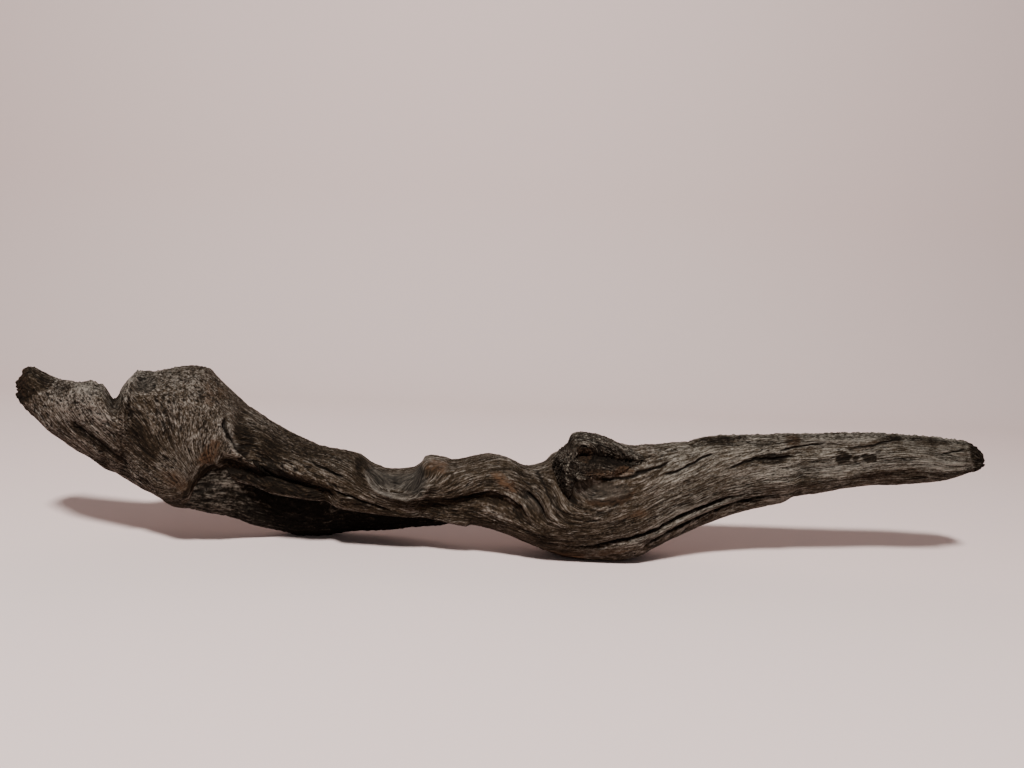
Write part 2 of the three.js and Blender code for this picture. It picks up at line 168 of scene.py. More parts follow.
# Ridges and grooves of the front: width, rise and line
FOLDS = [
    ("rib", 5, 6, [
        [-357, 112], [-353, 101], [-344, 91], [-322, 82], [-300, 74], [-260, 71], [-229, 64], [-197, 59],
        [-155, 54], [-91, 49], [-60, 45]]),
    ("valley over the rib", 11, -15, [[-344, 106], [-318, 96], [-285, 88], [-256, 82], [-232, 72]]),
    ("bowl lip", 4, 7, [
        [-189, 116], [-186, 102], [-177, 90], [-166, 82], [-149, 77], [-132, 75], [-114, 81],
        [-106, 92]]),
    ("flow ridge", 5, 2, [
        [-13, 125], [-8, 116], [5, 104], [25, 92], [34, 79], [43, 65], [52, 57], [68, 50]]),
    ("lens groove", 7, -4, [[12, 88], [22, 76], [31, 64]]),
    ("inner flow line", 4, 1, [[10, 123], [25, 109], [38, 89], [48, 74], [72, 71], [96, 75]]),
    ("fold beside the stub", 7, -5, [[46, 140], [48, 119], [57, 100], [66, 87]]),
    ("limb edge", 10, 3, [[352, 112], [398, 123], [440, 130], [479, 136], [538, 138], [573, 141]]),
    ("rough groove", 6, -3, [[303, 141], [334, 142], [360, 152], [393, 157], [432, 161], [536, 165]]),
    ("strand groove", 5, -4, [[167, 30], [189, 39], [217, 54], [257, 70], [297, 84], [334, 91]]),
]
# Steps of the front, where the ground drops on the right of the run: softness, reach, drop, the
# share of the line after which it runs out, and line
STEPS = [
    ("burl step", 4, 34, 8, 0.4, [
        [-318, 116], [-330, 130], [-340, 149], [-347, 169], [-353, 188], [-361, 205], [-370, 225]]),
    ("swirl shelf", 4, 22, 10, 0.75, [
        [-111, 75], [-93, 76], [-72, 80], [-51, 88], [-32, 90], [-15, 86], [5, 74], [16, 57], [28, 47]]),
]

# Open cracks: half width, depth and line
CRACKS = [
    ("belly crack", 2.6, 9, [
        [49, 25], [70, 23], [95, 24], [115, 31], [147, 39], [180, 51], [203, 64], [228, 74], [267, 89],
        [296, 95]]),
    ("strand crack", 1.3, 6, [
        [160, 25], [190, 42], [221, 56], [251, 70], [282, 82], [313, 89], [339, 93]]),
    ("limb crack", 1.0, 4, [[175, 118], [195, 123], [211, 130], [226, 138], [249, 147]]),
    ("stub crack", 1.1, 5, [[140, 119], [156, 123], [176, 129], [190, 134]]),
    ("lip shadow", 1.5, 3, [[96, 113], [116, 113], [139, 116], [155, 121], [168, 125]]),
    ("groove crack", 1.2, 3, [[256, 125], [270, 132], [297, 141], [325, 141], [357, 145]]),
    ("top crack", 1.0, 3, [[326, 150], [344, 154], [375, 159], [396, 162]]),
    ("top line", 0.9, 1.8, [[418, 158], [450, 162], [480, 169], [500, 171]]),
    ("burl crack", 1.9, 7, [
        [-354, 169], [-351, 157], [-346, 147], [-340, 139], [-335, 131], [-328, 124], [-316, 113]]),
    ("waist crack", 1.5, 5, [[-230, 86], [-190, 71], [-147, 56]]),
    ("neck crack", 1.2, 4, [[-254, 116], [-230, 107], [-206, 99]]),
    ("shelf crease", 1.2, 3.5, [
        [-111, 78], [-80, 76], [-57, 82], [-32, 89], [-12, 84], [5, 74], [16, 58]]),
    ("lens crack", 1.1, 4, [[10, 94], [24, 82], [36, 64]]),
    ("arm crack", 1.5, 5, [[-520, 111], [-504, 101], [-485, 90]]),
    ("arm streak", 1.0, 2, [[-532, 147], [-517, 147], [-496, 133], [-480, 119], [-462, 108]]),
    ("arm edge line", 1.2, 3, [[-560, 133], [-533, 114], [-508, 98], [-492, 87]]),
    ("saddle line", 0.8, 1.2, [[20, 118], [34, 99], [44, 80], [60, 70], [84, 68]]),
    ("far limb line", 0.9, 2, [[540, 153], [558, 158], [581, 161]]),
]

# The way the fibres run on the front: each line keeps one angle round the log
FIBRE_LINES = [
    (-0.95, [[-340, 92], [-297, 76], [-227, 62], [-138, 50], [-58, 42]]),
    (-0.45, [[-335, 125], [-290, 104], [-225, 80], [-147, 58], [-79, 52], [-20, 46]]),
    (-0.2, [[-325, 140], [-261, 112], [-201, 86], [-140, 68], [-79, 62], [-31, 60], [7, 53]]),
    (0.05, [[-300, 134], [-237, 112], [-189, 92], [-150, 78], [-104, 72], [-68, 80], [-38, 90],
           [-13, 82], [6, 66], [25, 53]]),
    (0.6, [[-215, 114], [-190, 100], [-159, 82], [-127, 78], [-105, 90], [-75, 103], [-45, 110]]),
    (-0.8, [[-20, 36], [20, 26], [49, 22], [91, 23], [148, 38], [181, 49], [229, 73], [269, 87],
             [297, 95], [352, 105], [426, 118], [527, 128]]),
    (-0.5, [[-11, 44], [20, 34], [57, 32], [107, 37], [155, 53], [204, 75], [252, 92],
            [301, 105], [351, 113], [425, 125], [539, 134]]),
    (0.22, [[10, 93], [27, 82], [40, 67], [56, 53], [87, 49], [130, 60], [178, 81], [226, 102],
            [275, 120], [336, 132], [411, 141], [550, 152]]),
    (0.58, [[14, 108], [34, 100], [49, 80], [73, 69], [104, 72], [153, 88], [200, 110],
           [248, 131], [284, 143], [346, 152], [421, 160], [534, 163]]),
    (1.0, [[154, 112], [184, 128], [227, 141], [264, 152], [326, 160], [415, 167]]),
]
# The fan's fibres run in towards one centre, each line at its own angle
FAN_CENTRE = (-385, 62)
FAN_LINES = [
    [[-596, 174], [-541, 122], [-481, 87], [-444, 66], [-422, 55]],
    [[-572, 195], [-539, 161], [-500, 127], [-460, 98], [-425, 81], [-402, 72]],
    [[-551, 209], [-524, 175], [-491, 141], [-458, 118], [-429, 101], [-398, 83]],
    [[-517, 203], [-495, 171], [-470, 146], [-445, 128], [-422, 108], [-392, 87]],
    [[-482, 197], [-466, 172], [-447, 152], [-429, 131], [-412, 110], [-389, 90]],
    [[-448, 203], [-431, 180], [-417, 157], [-407, 134], [-395, 113], [-385, 92]],
    [[-413, 220], [-402, 197], [-394, 174], [-388, 150], [-384, 126], [-380, 100]],
    [[-380, 226], [-372, 206], [-367, 183], [-363, 159], [-362, 135], [-366, 112]],
    [[-362, 212], [-353, 189], [-346, 168], [-342, 150], [-342, 135], [-351, 116]],
]
# Left of this edge the fibres fan out over the burl and the arm
FAN_EDGE = [
    [-372, 232], [-353, 188], [-341, 149], [-345, 128], [-351, 117], [-378, 109], [-383, 94], [-395, 80],
    [-417, 62], [-440, 30], [-760, 30], [-760, 260], [-372, 260],
]

# How pitted the wood is along the log, how rough along its crest, and how pale
PIT_LINE = [
    [-615, 0.8], [-560, 0.55], [-490, 0.75], [-420, 0.6], [-370, 0.5], [-320, 0.8], [-260, 0.6],
    [-180, 0.3], [-60, 0.3], [0, 0.2], [100, 0.12], [200, 0.2], [300, 0.3], [420, 0.15], [560, 0.15],
    [600, 0.6], [615, 0.9],
]
CREST_LINE = [
    [-615, 1.8], [-560, 1.5], [-500, 2.0], [-450, 1.9], [-410, 1.2], [-360, 1], [-300, 1.2], [-220, 0.7],
    [-150, 0.4], [0, 0.3], [190, 0.8], [300, 1.3], [520, 1.1], [615, 1.5],
]
# The paleness is also lowered over the neck and waist, from about x -335 to -215, as painted shade.
PALE_LINE = [
    [-615, 0.3], [-585, 0.44], [-540, 0.7], [-490, 0.62], [-430, 0.45], [-370, 0.48], [-335, 0.42],
    [-310, 0.3], [-260, 0.28], [-215, 0.3], [-160, 0.36], [-100, 0.38], [-40, 0.4], [0, 0.39], [60, 0.36],
    [120, 0.44], [160, 0.54], [200, 0.59], [300, 0.59], [400, 0.64], [560, 0.69], [590, 0.54],
    [615, 0.38],
]


# Small helpers
def unit(t):
    """t held between 0 and 1."""
    return np.clip(t, 0, 1)


def smooth(a, b, t):
    """Eased step from 0 at a to 1 at b."""
    share = unit((t - a) / (b - a))
    return share * share * (3 - 2 * share)


def mix(a, b, share):
    """a where share is 0, b where it is 1."""
    return a + (b - a) * share


def bell(t):
    """1 at 0, falling off evenly to both sides."""
    return np.exp(-(t**2))


def tapered(share, end):
    """1 along a line, eased to 0 over the first and last `end` of its length."""
    return smooth(0, end, share) * smooth(0, end, 1 - share)


def curve(points):
    """Smooth curve through [x, value] points that never overshoots them: cubic pieces whose slope
    at a point is the harmonic mean of its two chords, or 0 where they change sign."""
    xs, values = np.array(points, float).T
    chord = np.diff(values) / np.diff(xs)
    left, right = np.r_[chord[:1], chord], np.r_[chord, chord[-1:]]
    same = left * right > 0
    slope = np.where(same, 2 * left * right / np.where(same, left + right, 1), 0)

    def at(x):
        i = np.clip(np.searchsorted(xs, x, side="left") - 1, 0, len(xs) - 2)
        width = xs[i + 1] - xs[i]
        t = unit((x - xs[i]) / width)
        bend = mix(values[i], values[i + 1], t * t * (3 - 2 * t))
        return bend + width * (slope[i] * t * (1 - t) ** 2 - slope[i + 1] * t * t * (1 - t))

    return at


def to_line(line, x, z):
    """Distance from (x, z) to a polyline, the side it lies on (+1 on the right of its run), and
    the share of the line's length at the nearest point."""
    line = np.array(line, float)
    runs = np.hypot(*np.diff(line, axis=0).T)
    starts = np.r_[0, np.cumsum(runs)]
    far = np.full(np.shape(x), np.inf)
    side = np.ones(np.shape(x))
    share = np.zeros(np.shape(x))
    for (ax, az), (bx, bz), run, start in zip(line[:-1], line[1:], runs, starts):
        dx, dz = bx - ax, bz - az
        t = unit(((x - ax) * dx + (z - az) * dz) / run**2)
        ex, ez = x - ax - t * dx, z - az - t * dz
        reach = np.hypot(ex, ez)
        nearer = reach < far
        far = np.where(nearer, reach, far)
        side = np.where(nearer, np.where(ex * dz - ez * dx >= 0, 1, -1), side)
        share = np.where(nearer, (start + t * run) / starts[-1], share)
    return far, side, share


def inside(outline, x, z, soft):
    """1 inside a closed outline and 0 outside, eased over `soft` to each side of its edge: the
    edges that a ray to the right crosses are counted, and an odd count is inside."""
    closed = outline + outline[:1]
    odd = np.zeros(np.shape(x), bool)
    for (ax, az), (bx, bz) in zip(closed[:-1], closed[1:]):
        if az != bz:
            odd ^= ((az > z) != (bz > z)) & (x < (bx - ax) * (z - az) / (bz - az) + ax)
    far = to_line(closed, x, z)[0]
    return smooth(-soft, soft, np.where(odd, far, -far))


class Noise:
    """Smooth gradient noise in space: each corner of a unit lattice holds a random direction, and
    a point takes the eased mix of its eight corners' dot products. Values lie around -1 to 1."""

    def __init__(self, seed):
        draw = np.random.default_rng(seed)
        self.order = draw.permutation(256)
        ways = draw.normal(size=(256, 3))
        self.ways = (ways / np.linalg.norm(ways, axis=1, keepdims=True)).astype(np.float32)

    def __call__(self, points):
        cell = np.floor(points).astype(np.int32)
        rest = (points - cell).astype(np.float32)
        ease = rest**3 * (rest * (6 * rest - 15) + 10)
        total = np.zeros(points.shape[:-1], np.float32)
        for corner in np.ndindex(2, 2, 2):
            i, j, k = np.moveaxis((cell + np.array(corner)) & 255, -1, 0)
            key = self.order[(self.order[(self.order[i] + j) & 255] + k) & 255]
            push = np.einsum("...k,...k->...", rest - np.array(corner, np.float32), self.ways[key])
            share = np.where(np.array(corner, bool), ease, 1 - ease)
            total += push * share[..., 0] * share[..., 1] * share[..., 2]
        return 1.9 * total


def stack(*parts):
    """Arrays of one shape joined as the last axis of points."""
    return np.stack(np.broadcast_arrays(*parts), axis=-1)


def normals_of(points):
    """Unit normals of a grid of points that closes on itself round its second axis: the cross
    product of the steps along and round it."""
    along = np.gradient(points, axis=0)
    around = np.roll(points, -1, axis=1) - np.roll(points, 1, axis=1)
    normal = np.cross(along, around)
    return normal / np.maximum(np.linalg.norm(normal, axis=-1, keepdims=True), 1e-9)


def hollowness(points, normal, reach):
    """How far each point lies below (+) or above (-) the mean of its neighbours, up to `reach` rows
    away along and round the grid, in millimetres."""
    span = range(-reach, reach + 1)
    round_mean = sum(np.roll(points, k, axis=1) for k in span) / len(span)
    wide = np.pad(round_mean, ((reach, reach), (0, 0), (0, 0)), mode="edge")
    mean = sum(wide[reach + k:reach + k + len(points)] for k in span) / len(span)
    return np.einsum("...k,...k->...", mean - points, normal)


# The log's skin
top, bottom = curve(TOP_LINE), curve(BOTTOM_LINE)
front, back = curve(FRONT_LINE), curve(BACK_LINE)
belt, lean, square = curve(BELT_LINE), curve(LEAN_LINE), curve(SQUARE_LINE)


def waves(x, y, z):
    """Broad, slow waves that keep the surface from looking turned."""
    return (
        1.5 * np.sin(x / 31 + y / 24 + 0.6) * np.cos(z / 27 - y / 33)
        + 1.1 * np.sin(x / 17 - z / 19 + 1.9) * np.cos(y / 21 + 0.4)
        + 0.7 * np.sin(y / 11 + z / 13 + x / 43)
    )


def relief(x, y, z, facing):
    """How far the carved features lift a point: waves, bell-shaped lumps in space, and bell-shaped
    ridges and eased steps along lines of the front."""
    rise = waves(x, y, z)
    for _, at, reach, height in LUMPS:
        off = [(value - a) / r for value, a, r in zip((x, y, z), at, reach)]
        rise = rise + height * np.exp(-(off[0] ** 2 + off[1] ** 2 + off[2] ** 2))
    for _, width, height, line in FOLDS:
        rise += facing * height * bell(to_line(line, x, z)[0] / width)
    for _, soft, reach, drop, spent, line in STEPS:
        far, side, share = to_line(line, x, z)
        past = smooth(-soft, soft, side * far) * (1 - smooth(spent, spent + 0.25, share))
        rise -= facing * drop * past * bell(np.maximum(side * far, 0) / reach)
    return rise


def oval(box, turn, shape):
    """Points of a squared-off oval, u^n + v^n = 1 with u and v the shares of its half widths: turn 0
    is the front and a quarter turn the top. It leans with height, and `shape` lifts it outwards."""
    c, s = np.cos(turn), np.sin(turn)
    u = np.sign(c) * np.abs(c) ** (2 / box["square"])
    v = np.sign(s) * np.abs(s) ** (2 / box["square"])
    half_y = np.where(u > 0, box["mid_y"] - box["front"], box["back"] - box["mid_y"])
    half_z = np.where(v > 0, box["top"] - box["mid_z"], box["mid_z"] - box["bottom"])
    ny = -np.sign(u) * np.abs(u) ** (box["square"] - 1) / half_y
    nz = np.sign(v) * np.abs(v) ** (box["square"] - 1) / half_z
    length = np.hypot(ny, nz)
    z = box["mid_z"] + v * half_z
    y = box["mid_y"] - u * half_y + box["lean"] * (z - box["mid_z"])
    facing = smooth(-0.15, 0.45, -ny / length)
    rise = shape(y, z, facing)
    return y + rise * ny / length, z + rise * nz / length, facing


def section(high, low, near, far, widest, leaning, squareness):
    """What an oval is drawn from: its four edges, its middle, which is where it is widest, how it
    leans back with height and how square it is."""
    return {
        "top": high, "bottom": low, "front": near, "back": far, "mid_y": (near + far) / 2,
        "mid_z": mix(low, high, widest), "lean": leaning, "square": squareness,
    }


def log_box(x):
    """The log's section at x."""
    return section(top(x), bottom(x), front(x), back(x), belt(x), lean(x), square(x))


def log_skin(x, turn):
    """The log's skin: the notch runs slantwise through the log, and both broken ends are slanted
    towards the front."""
    fade = smooth(0, END_FADE, x - TIP_LEFT) * smooth(0, END_FADE, TIP_RIGHT - x)
    y, z, facing = oval(
        log_box(x), turn, lambda py, pz, face: relief(x, py, pz, face) * mix(0.35, 1, fade)
    )
    slant_left = SLANT_LEFT * smooth(SLANT_LEFT_FROM, TIP_LEFT, x)
    slant_right = SLANT_RIGHT * smooth(SLANT_RIGHT_FROM, TIP_RIGHT, x)
    notch = bell((x - NOTCH_X) / NOTCH_REACH) * smooth(NOTCH_FOOT, NOTCH_FULL, z)
    slant_notch = SLANT_NOTCH * notch * np.maximum(-25 - y, -30)
    return stack(x + (slant_left - slant_right) * np.maximum(-y, 0) + slant_notch, y, z), facing


def even_turns(skin, x, count, front_share):
    """Turns that share each ring's girth evenly, `front_share` times closer on the front: the girth
    is summed along fine steps and read backwards."""
    fineness = 6
    fine = np.linspace(-math.pi, math.pi, fineness * count + 1)
    points = skin(x[:, None], fine[None])[0]
    step = np.linalg.norm(np.diff(points, axis=1), axis=-1)
    middle = (fine[1:] + fine[:-1]) / 2
    step = step * (1 + (front_share - 1) * smooth(-0.3, 0.6, np.cos(middle)))
    girth = np.concatenate([np.zeros((len(x), 1)), np.cumsum(step, axis=1)], axis=1)
    shares = np.linspace(0, 1, count, endpoint=False)
    return np.array([np.interp(shares * ring[-1], ring, fine) for ring in girth])


# Fibres
def bells(at, centres, reach):
    """Bell-shaped weights of points by their distance to each centre, in units of reach."""
    off = (at[..., None, :] - centres) / reach
    return np.exp(-np.einsum("...k,...k->...", off, off) / 2)


def fitted(centres, values, reach):
    """A smooth field through values at scattered centres: a sum of bells whose heights solve the
    linear system, slightly slackened."""
    centres = np.array(centres, float)
    pull = bells(centres, centres, reach) + 0.05 * np.eye(len(centres))
    heights = np.linalg.solve(pull, np.array(values, float))

    def at(points):
        flat = points.reshape(-1, points.shape[-1])
        parts = [bells(part, centres, reach) @ heights for part in np.array_split(flat, 40)]
        return np.concatenate(parts).reshape(points.shape[:-1])

    return at


def front_turn(x, z):
    """The turn on the front of the log's plain section at which its height is z."""
    box = log_box(x)
    half = np.where(z > box["mid_z"], box["top"] - box["mid_z"], box["mid_z"] - box["bottom"])
    v = np.clip((z - box["mid_z"]) / half, -0.97, 0.97)
    return np.arcsin(np.sign(v) * np.abs(v) ** (box["square"] / 2))


def long_fibres():
    """How far the fibres turn round the log against the plain section, fitted so that each fibre
    line keeps its own angle; nothing turns behind the log."""
    centres, values = [], []
    for angle, line in FIBRE_LINES:
        x, z = np.array(line, float).T
        turn = front_turn(x, z)
        centres += [list(pair) for pair in zip(x, turn)]
        values += list(angle - turn)
    behind = [[x, turn] for x in range(-620, 640, 70) for turn in (-2.7, -2.2, 2.2, 2.7)]
    return fitted(centres + behind, values + [0] * len(behind), np.array([45, 0.5]))


def fan_fibres():
    """The angle of the fan's fibres about its centre, fitted so that each fan line keeps the angle
    of its middle point."""
    centres, values = [], []
    for line in FAN_LINES:
        line = np.array(line, float)
        off = line - np.array(FAN_CENTRE)
        own = np.arctan2(off[:, 1], -off[:, 0])
        centres += line.tolist()
        values += list(own[len(own) // 2] - own)
    return fitted(centres, values, np.array([38, 38]))


def log_fibres(points, turn):
    """Fibre coordinates of the log: distance along the fibres, then two across them. Long fibres
    wrap the log as a cylinder; fan fibres run out from the fan's centre at every depth."""
    x, y, z = np.moveaxis(points, -1, 0)
    angle = turn + long_fibres()(stack(x, turn))
    girth, fan_girth = 55, 105
    along = stack(x, girth * np.cos(angle), girth * np.sin(angle))
    off_x, off_z = x - FAN_CENTRE[0], z - FAN_CENTRE[1]
    way = np.arctan2(off_z, -off_x) + fan_fibres()(stack(x, z))
    fan = stack(np.hypot(off_x, off_z), fan_girth * way, y)
    share = inside(FAN_EDGE, x, z, 10) * (x < -330)
    return along, fan, share


def fibre(noise, at, length, width):
    """Noise drawn out along the fibres: streaks about `length` long and `width` wide."""
    return noise(at / np.array([length, width, width]))


COARSE, MIDDLE, FINE, PITS, GATE = (Noise(seed) for seed in (11, 23, 37, 51, 64))


def weathered(at, place, pits, rough):
    """What weather does to wood whose fibres run along at[..., 0]: its rise in millimetres, how
    dark and hollow it is, and how pale. Streaks at three scales; grooves where a noise crosses
    zero, broken by a second noise; short pits where a noise passes a threshold."""
    wander = 3 * stack(0 * place[..., 0], MIDDLE(place / 26), MIDDLE(place / 26 + 7.3))
    at = at + wander
    broad = fibre(COARSE, at, length=90, width=14)
    bands = fibre(MIDDLE, at, length=38, width=4)
    strands = fibre(FINE, at, length=15, width=2.1)
    open_long = smooth(-0.1, 0.5, fibre(GATE, at + 9, length=80, width=14))
    open_fine = smooth(-0.3, 0.5, fibre(GATE, at, length=40, width=9))
    groove = bell(bands / 0.15) * open_long
    fine_groove = bell(strands / 0.22) * open_fine
    patch = COARSE(place / 34 + 3.1)
    bar = 1 - 0.75 * pits - 0.3 * patch
    pit = smooth(0, 0.3, fibre(PITS, at, length=8, width=2.7) - bar)
    crumb = MIDDLE(place / 5) * 0.6 + FINE(place / 2.4) * 0.4
    grit = FINE(place / 2.9)
    rise = (
        0.9 * broad + 0.25 * bands + 0.3 * strands + 0.2 * grit
        - 0.9 * groove - 0.6 * fine_groove - 1.2 * pit + rough * 1.8 * crumb
    )
    dark = unit(0.55 * groove + 0.45 * fine_groove + 0.9 * pit + 0.25 * rough * (0.5 - crumb))
    blotch = MIDDLE(place / 11 + 8.2)
    pale = 0.14 * strands + 0.1 * grit + 0.17 * patch + 0.09 * blotch
    return rise, dark, pale


# Patches of colour on the front: softness of the edge, strength and outline
SCAR = [[83, 88], [98, 87], [117, 90], [134, 93], [145, 100], [141, 91], [130, 84], [113, 82], [90, 82]]
RUSTY = [
    ("left tip", 5, 0.5, [[-640, 220], [-600, 212], [-588, 200], [-592, 178], [-640, 170]]),
    ("burl patch", 3, 1, [
        [-378, 117], [-370, 131], [-361, 141], [-353, 141], [-354, 126], [-361, 112], [-375, 109]]),
    ("burl foot", 6, 0.6, [[-420, 100], [-404, 103], [-390, 95], [-387, 82], [-397, 77], [-414, 87]]),
    ("burl spot", 3, 0.7, [[-383, 201], [-372, 190], [-368, 178], [-376, 184]]),
    ("crest spot", 3, 0.6, [[-373, 196], [-366, 189], [-362, 182], [-368, 186]]),
    ("nose", 3, 1, [[-32, 111], [-20, 112], [-8, 105], [2, 96], [-2, 92], [-16, 96], [-26, 103]]),
    ("corner", 3, 0.9, [[-118, 113], [-104, 119], [-84, 116], [-88, 109], [-104, 109]]),
    ("scar", 2, 0.65, SCAR),
    ("belly streak", 3, 0.7, [[128, 66], [144, 73], [158, 77], [164, 71], [149, 65]]),
    ("belly foot", 4, 0.9, [[40, 14], [65, 12], [90, 13], [90, 3], [63, 3], [43, 9]]),
    ("belly heel", 6, 0.4, [[100, 12], [136, 16], [150, 24], [110, 20]]),
    ("limb spot", 3, 0.5, [[346, 168], [358, 167], [359, 160], [349, 157], [338, 160]]),
    ("limb brown", 3, 0.5, [[422, 160], [439, 164], [460, 166], [450, 160], [428, 155]]),
    ("eye", 4, 0.6, [[72, 148], [86, 150], [92, 142], [84, 134], [74, 137]]),
    ("lip", 2, 0.7, [
        [80, 122], [96, 126], [114, 124], [129, 129], [146, 124], [140, 118], [125, 116], [106, 117],
        [88, 116]]),
]
# Dark patches: stains of the wood, and painted shade in the valley over the rib, under the rib, below the
# burl, in the recesses, below and under the shelf, in the stub's crease and hollow, and on the limb's
# underside.
STAINS_AND_SHADE = [
    ("left tip", 4, 0.85, [
        [-640, 225], [-599, 218], [-573, 203], [-560, 193], [-565, 187], [-582, 181], [-593, 171],
        [-607, 169], [-640, 165]]),
    ("arm blotch", 3, 0.6, [[-561, 199], [-530, 197], [-530, 183], [-541, 182], [-553, 189]]),
    ("arm strand", 3, 0.75, [
        [-530, 157], [-516, 151], [-496, 140], [-483, 126], [-462, 114], [-467, 106], [-487, 116],
        [-504, 129], [-532, 146]]),
    ("arm edge", 3, 0.6, [[-536, 113], [-518, 110], [-500, 101], [-488, 86], [-502, 80], [-530, 98]]),
    ("notch side", 5, 0.5, [[-488, 189], [-455, 181], [-456, 168], [-476, 166], [-484, 174]]),
    ("burl lens", 4, 0.65, [
        [-450, 161], [-438, 152], [-427, 141], [-424, 129], [-426, 115], [-436, 112], [-444, 122],
        [-452, 136], [-455, 149]]),
    ("upper recess", 3, 0.6, [
        [-342, 152], [-330, 153], [-319, 143], [-320, 129], [-331, 129], [-338, 139]]),
    ("lower recess", 4, 0.55, [[-318, 131], [-299, 133], [-288, 124], [-290, 113], [-311, 114]]),
    ("below the burl", 2, 0.65, [
        [-380, 110], [-371, 107], [-362, 108], [-356, 103], [-350, 92], [-363, 84], [-376, 83],
        [-388, 74], [-400, 58], [-392, 84], [-384, 96]]),
    ("valley", 3, 1, [
        [-357, 103], [-349, 104], [-338, 107], [-325, 103], [-311, 109], [-289, 107], [-273, 99],
        [-258, 87], [-241, 80], [-225, 70], [-241, 67], [-260, 69], [-283, 72], [-298, 73], [-307, 80],
        [-324, 84], [-338, 86], [-350, 91]]),
    ("under the rib", 3, 0.9, [
        [-372, 90], [-348, 84], [-314, 74], [-300, 69], [-258, 65], [-228, 59], [-198, 52], [-130, 44],
        [-60, 36], [-60, 20], [-380, 20]]),
    ("waist strand", 4, 0.5, [[-222, 84], [-190, 72], [-160, 60], [-130, 54], [-160, 54], [-200, 66]]),
    ("bowl corner", 2, 0.85, [[-199, 118], [-190, 118], [-183, 108], [-190, 104], [-197, 108]]),
    ("swirl corner", 2, 0.8, [[-120, 108], [-111, 115], [-103, 109], [-112, 104]]),
    ("below the shelf", 3, 0.65, [
        [-100, 76], [-72, 80], [-51, 86], [-30, 88], [-10, 80], [6, 64], [12, 50], [2, 56], [-8, 64],
        [-24, 74], [-44, 76], [-72, 72]]),
    ("under the shelf", 6, 0.35, [
        [-130, 66], [-100, 70], [-70, 66], [-40, 66], [-16, 54], [-30, 46], [-70, 52], [-110, 54]]),
    ("scar", 2, 0.8, SCAR),
    ("saddle foot", 4, 0.35, [[20, 98], [28, 96], [40, 80], [50, 66], [46, 58], [38, 64], [28, 80]]),
    ("stub crease", 2, 0.7, [
        [44, 134], [54, 129], [58, 122], [61, 112], [61, 90], [54, 97], [50, 110], [46, 120]]),
    ("stub inside", 3, 0.8, [
        [70, 146], [80, 155], [88, 150], [102, 144], [118, 137], [137, 129], [129, 126], [115, 129],
        [99, 132], [86, 132], [76, 136]]),
    ("behind the stub", 4, 0.5, [[146, 140], [168, 145], [176, 139], [168, 134], [150, 132]]),
    ("flap", 2, 0.7, [
        [218, 151], [240, 160], [271, 164], [296, 172], [296, 162], [271, 158], [244, 155]]),
    ("far groove", 2, 0.85, [
        [296, 141], [319, 147], [334, 149], [345, 152], [344, 144], [335, 137], [323, 136], [308, 135]]),
    ("near groove", 3, 0.5, [[250, 123], [270, 134], [297, 143], [300, 136], [276, 128]]),
    ("top groove", 2, 0.7, [
        [416, 158], [439, 165], [460, 170], [494, 174], [494, 168], [472, 165], [450, 160], [428, 155]]),
    ("end groove", 2, 0.7, [[505, 170], [526, 174], [566, 172], [556, 166], [535, 165], [514, 165]]),
    ("brown patch", 3, 0.6, [[346, 169], [358, 168], [359, 160], [349, 156], [338, 160]]),
    ("first blotch", 1.5, 1.1, [[403, 152], [411, 154], [420, 151], [421, 142], [407, 137], [403, 142]]),
    ("second blotch", 1.5, 1, [[425, 150], [430, 152], [430, 142], [425, 142]]),
    ("third blotch", 1.5, 1, [[436, 152], [448, 154], [454, 149], [452, 143], [442, 142], [436, 146]]),
    ("near band streak", 2, 0.4, [
        [352, 119], [384, 121], [411, 120], [410, 111], [380, 107], [354, 107]]),
    ("middle band streak", 2, 0.4, [[430, 128], [458, 133], [482, 127], [473, 119], [443, 119]]),
    ("far band streak", 2, 0.4, [[481, 130], [513, 134], [552, 129], [549, 121], [511, 119], [487, 121]]),
    ("underside", 3, 0.12, [
        [345, 112], [398, 124], [428, 131], [491, 135], [556, 135], [598, 134], [604, 110], [500, 98],
        [420, 84], [352, 74]]),
    ("right cap", 2, 0.55, [
        [591, 185], [589, 168], [583, 160], [588, 148], [598, 134], [604, 120], [640, 120], [640, 185]]),
]
BLEACHED = [
    ("notch foot", 4, 0.8, [
        [-502, 186], [-488, 180], [-472, 186], [-464, 168], [-480, 156], [-500, 164]]),
    ("smooth band", 4, 0.35, [
        [-377, 228], [-366, 226], [-350, 195], [-347, 166], [-346, 150], [-352, 150], [-357, 168],
        [-363, 195]]),
    ("burl face", 6, 0.25, [
        [-402, 171], [-385, 180], [-366, 173], [-354, 158], [-357, 143], [-380, 140], [-399, 146]]),
    ("crest rim", 6, 0.35, [[-444, 216], [-420, 224], [-380, 224], [-386, 208], [-420, 208]]),
    ("arm patch", 4, 0.5, [
        [-539, 196], [-509, 199], [-495, 196], [-487, 188], [-500, 166], [-514, 172], [-518, 188]]),
    ("flange", 3, 0.35, [
        [62, 158], [84, 166], [110, 161], [140, 149], [160, 138], [150, 136], [126, 147], [104, 153],
        [84, 156], [68, 153]]),
    ("stub flank", 3, 0.6, [[38, 148], [52, 153], [55, 142], [49, 134], [40, 138]]),
    ("lip", 2, 0.6, [[84, 120], [100, 123], [124, 122], [124, 118], [104, 117], [88, 117]]),
    ("pale knob", 5, 0.4, [[303, 120], [316, 130], [335, 123], [350, 108], [340, 100], [322, 108]]),
    ("limb face", 8, 0.45, [
        [200, 128], [300, 130], [420, 138], [570, 146], [580, 138], [420, 132], [330, 116], [240, 112]]),
]
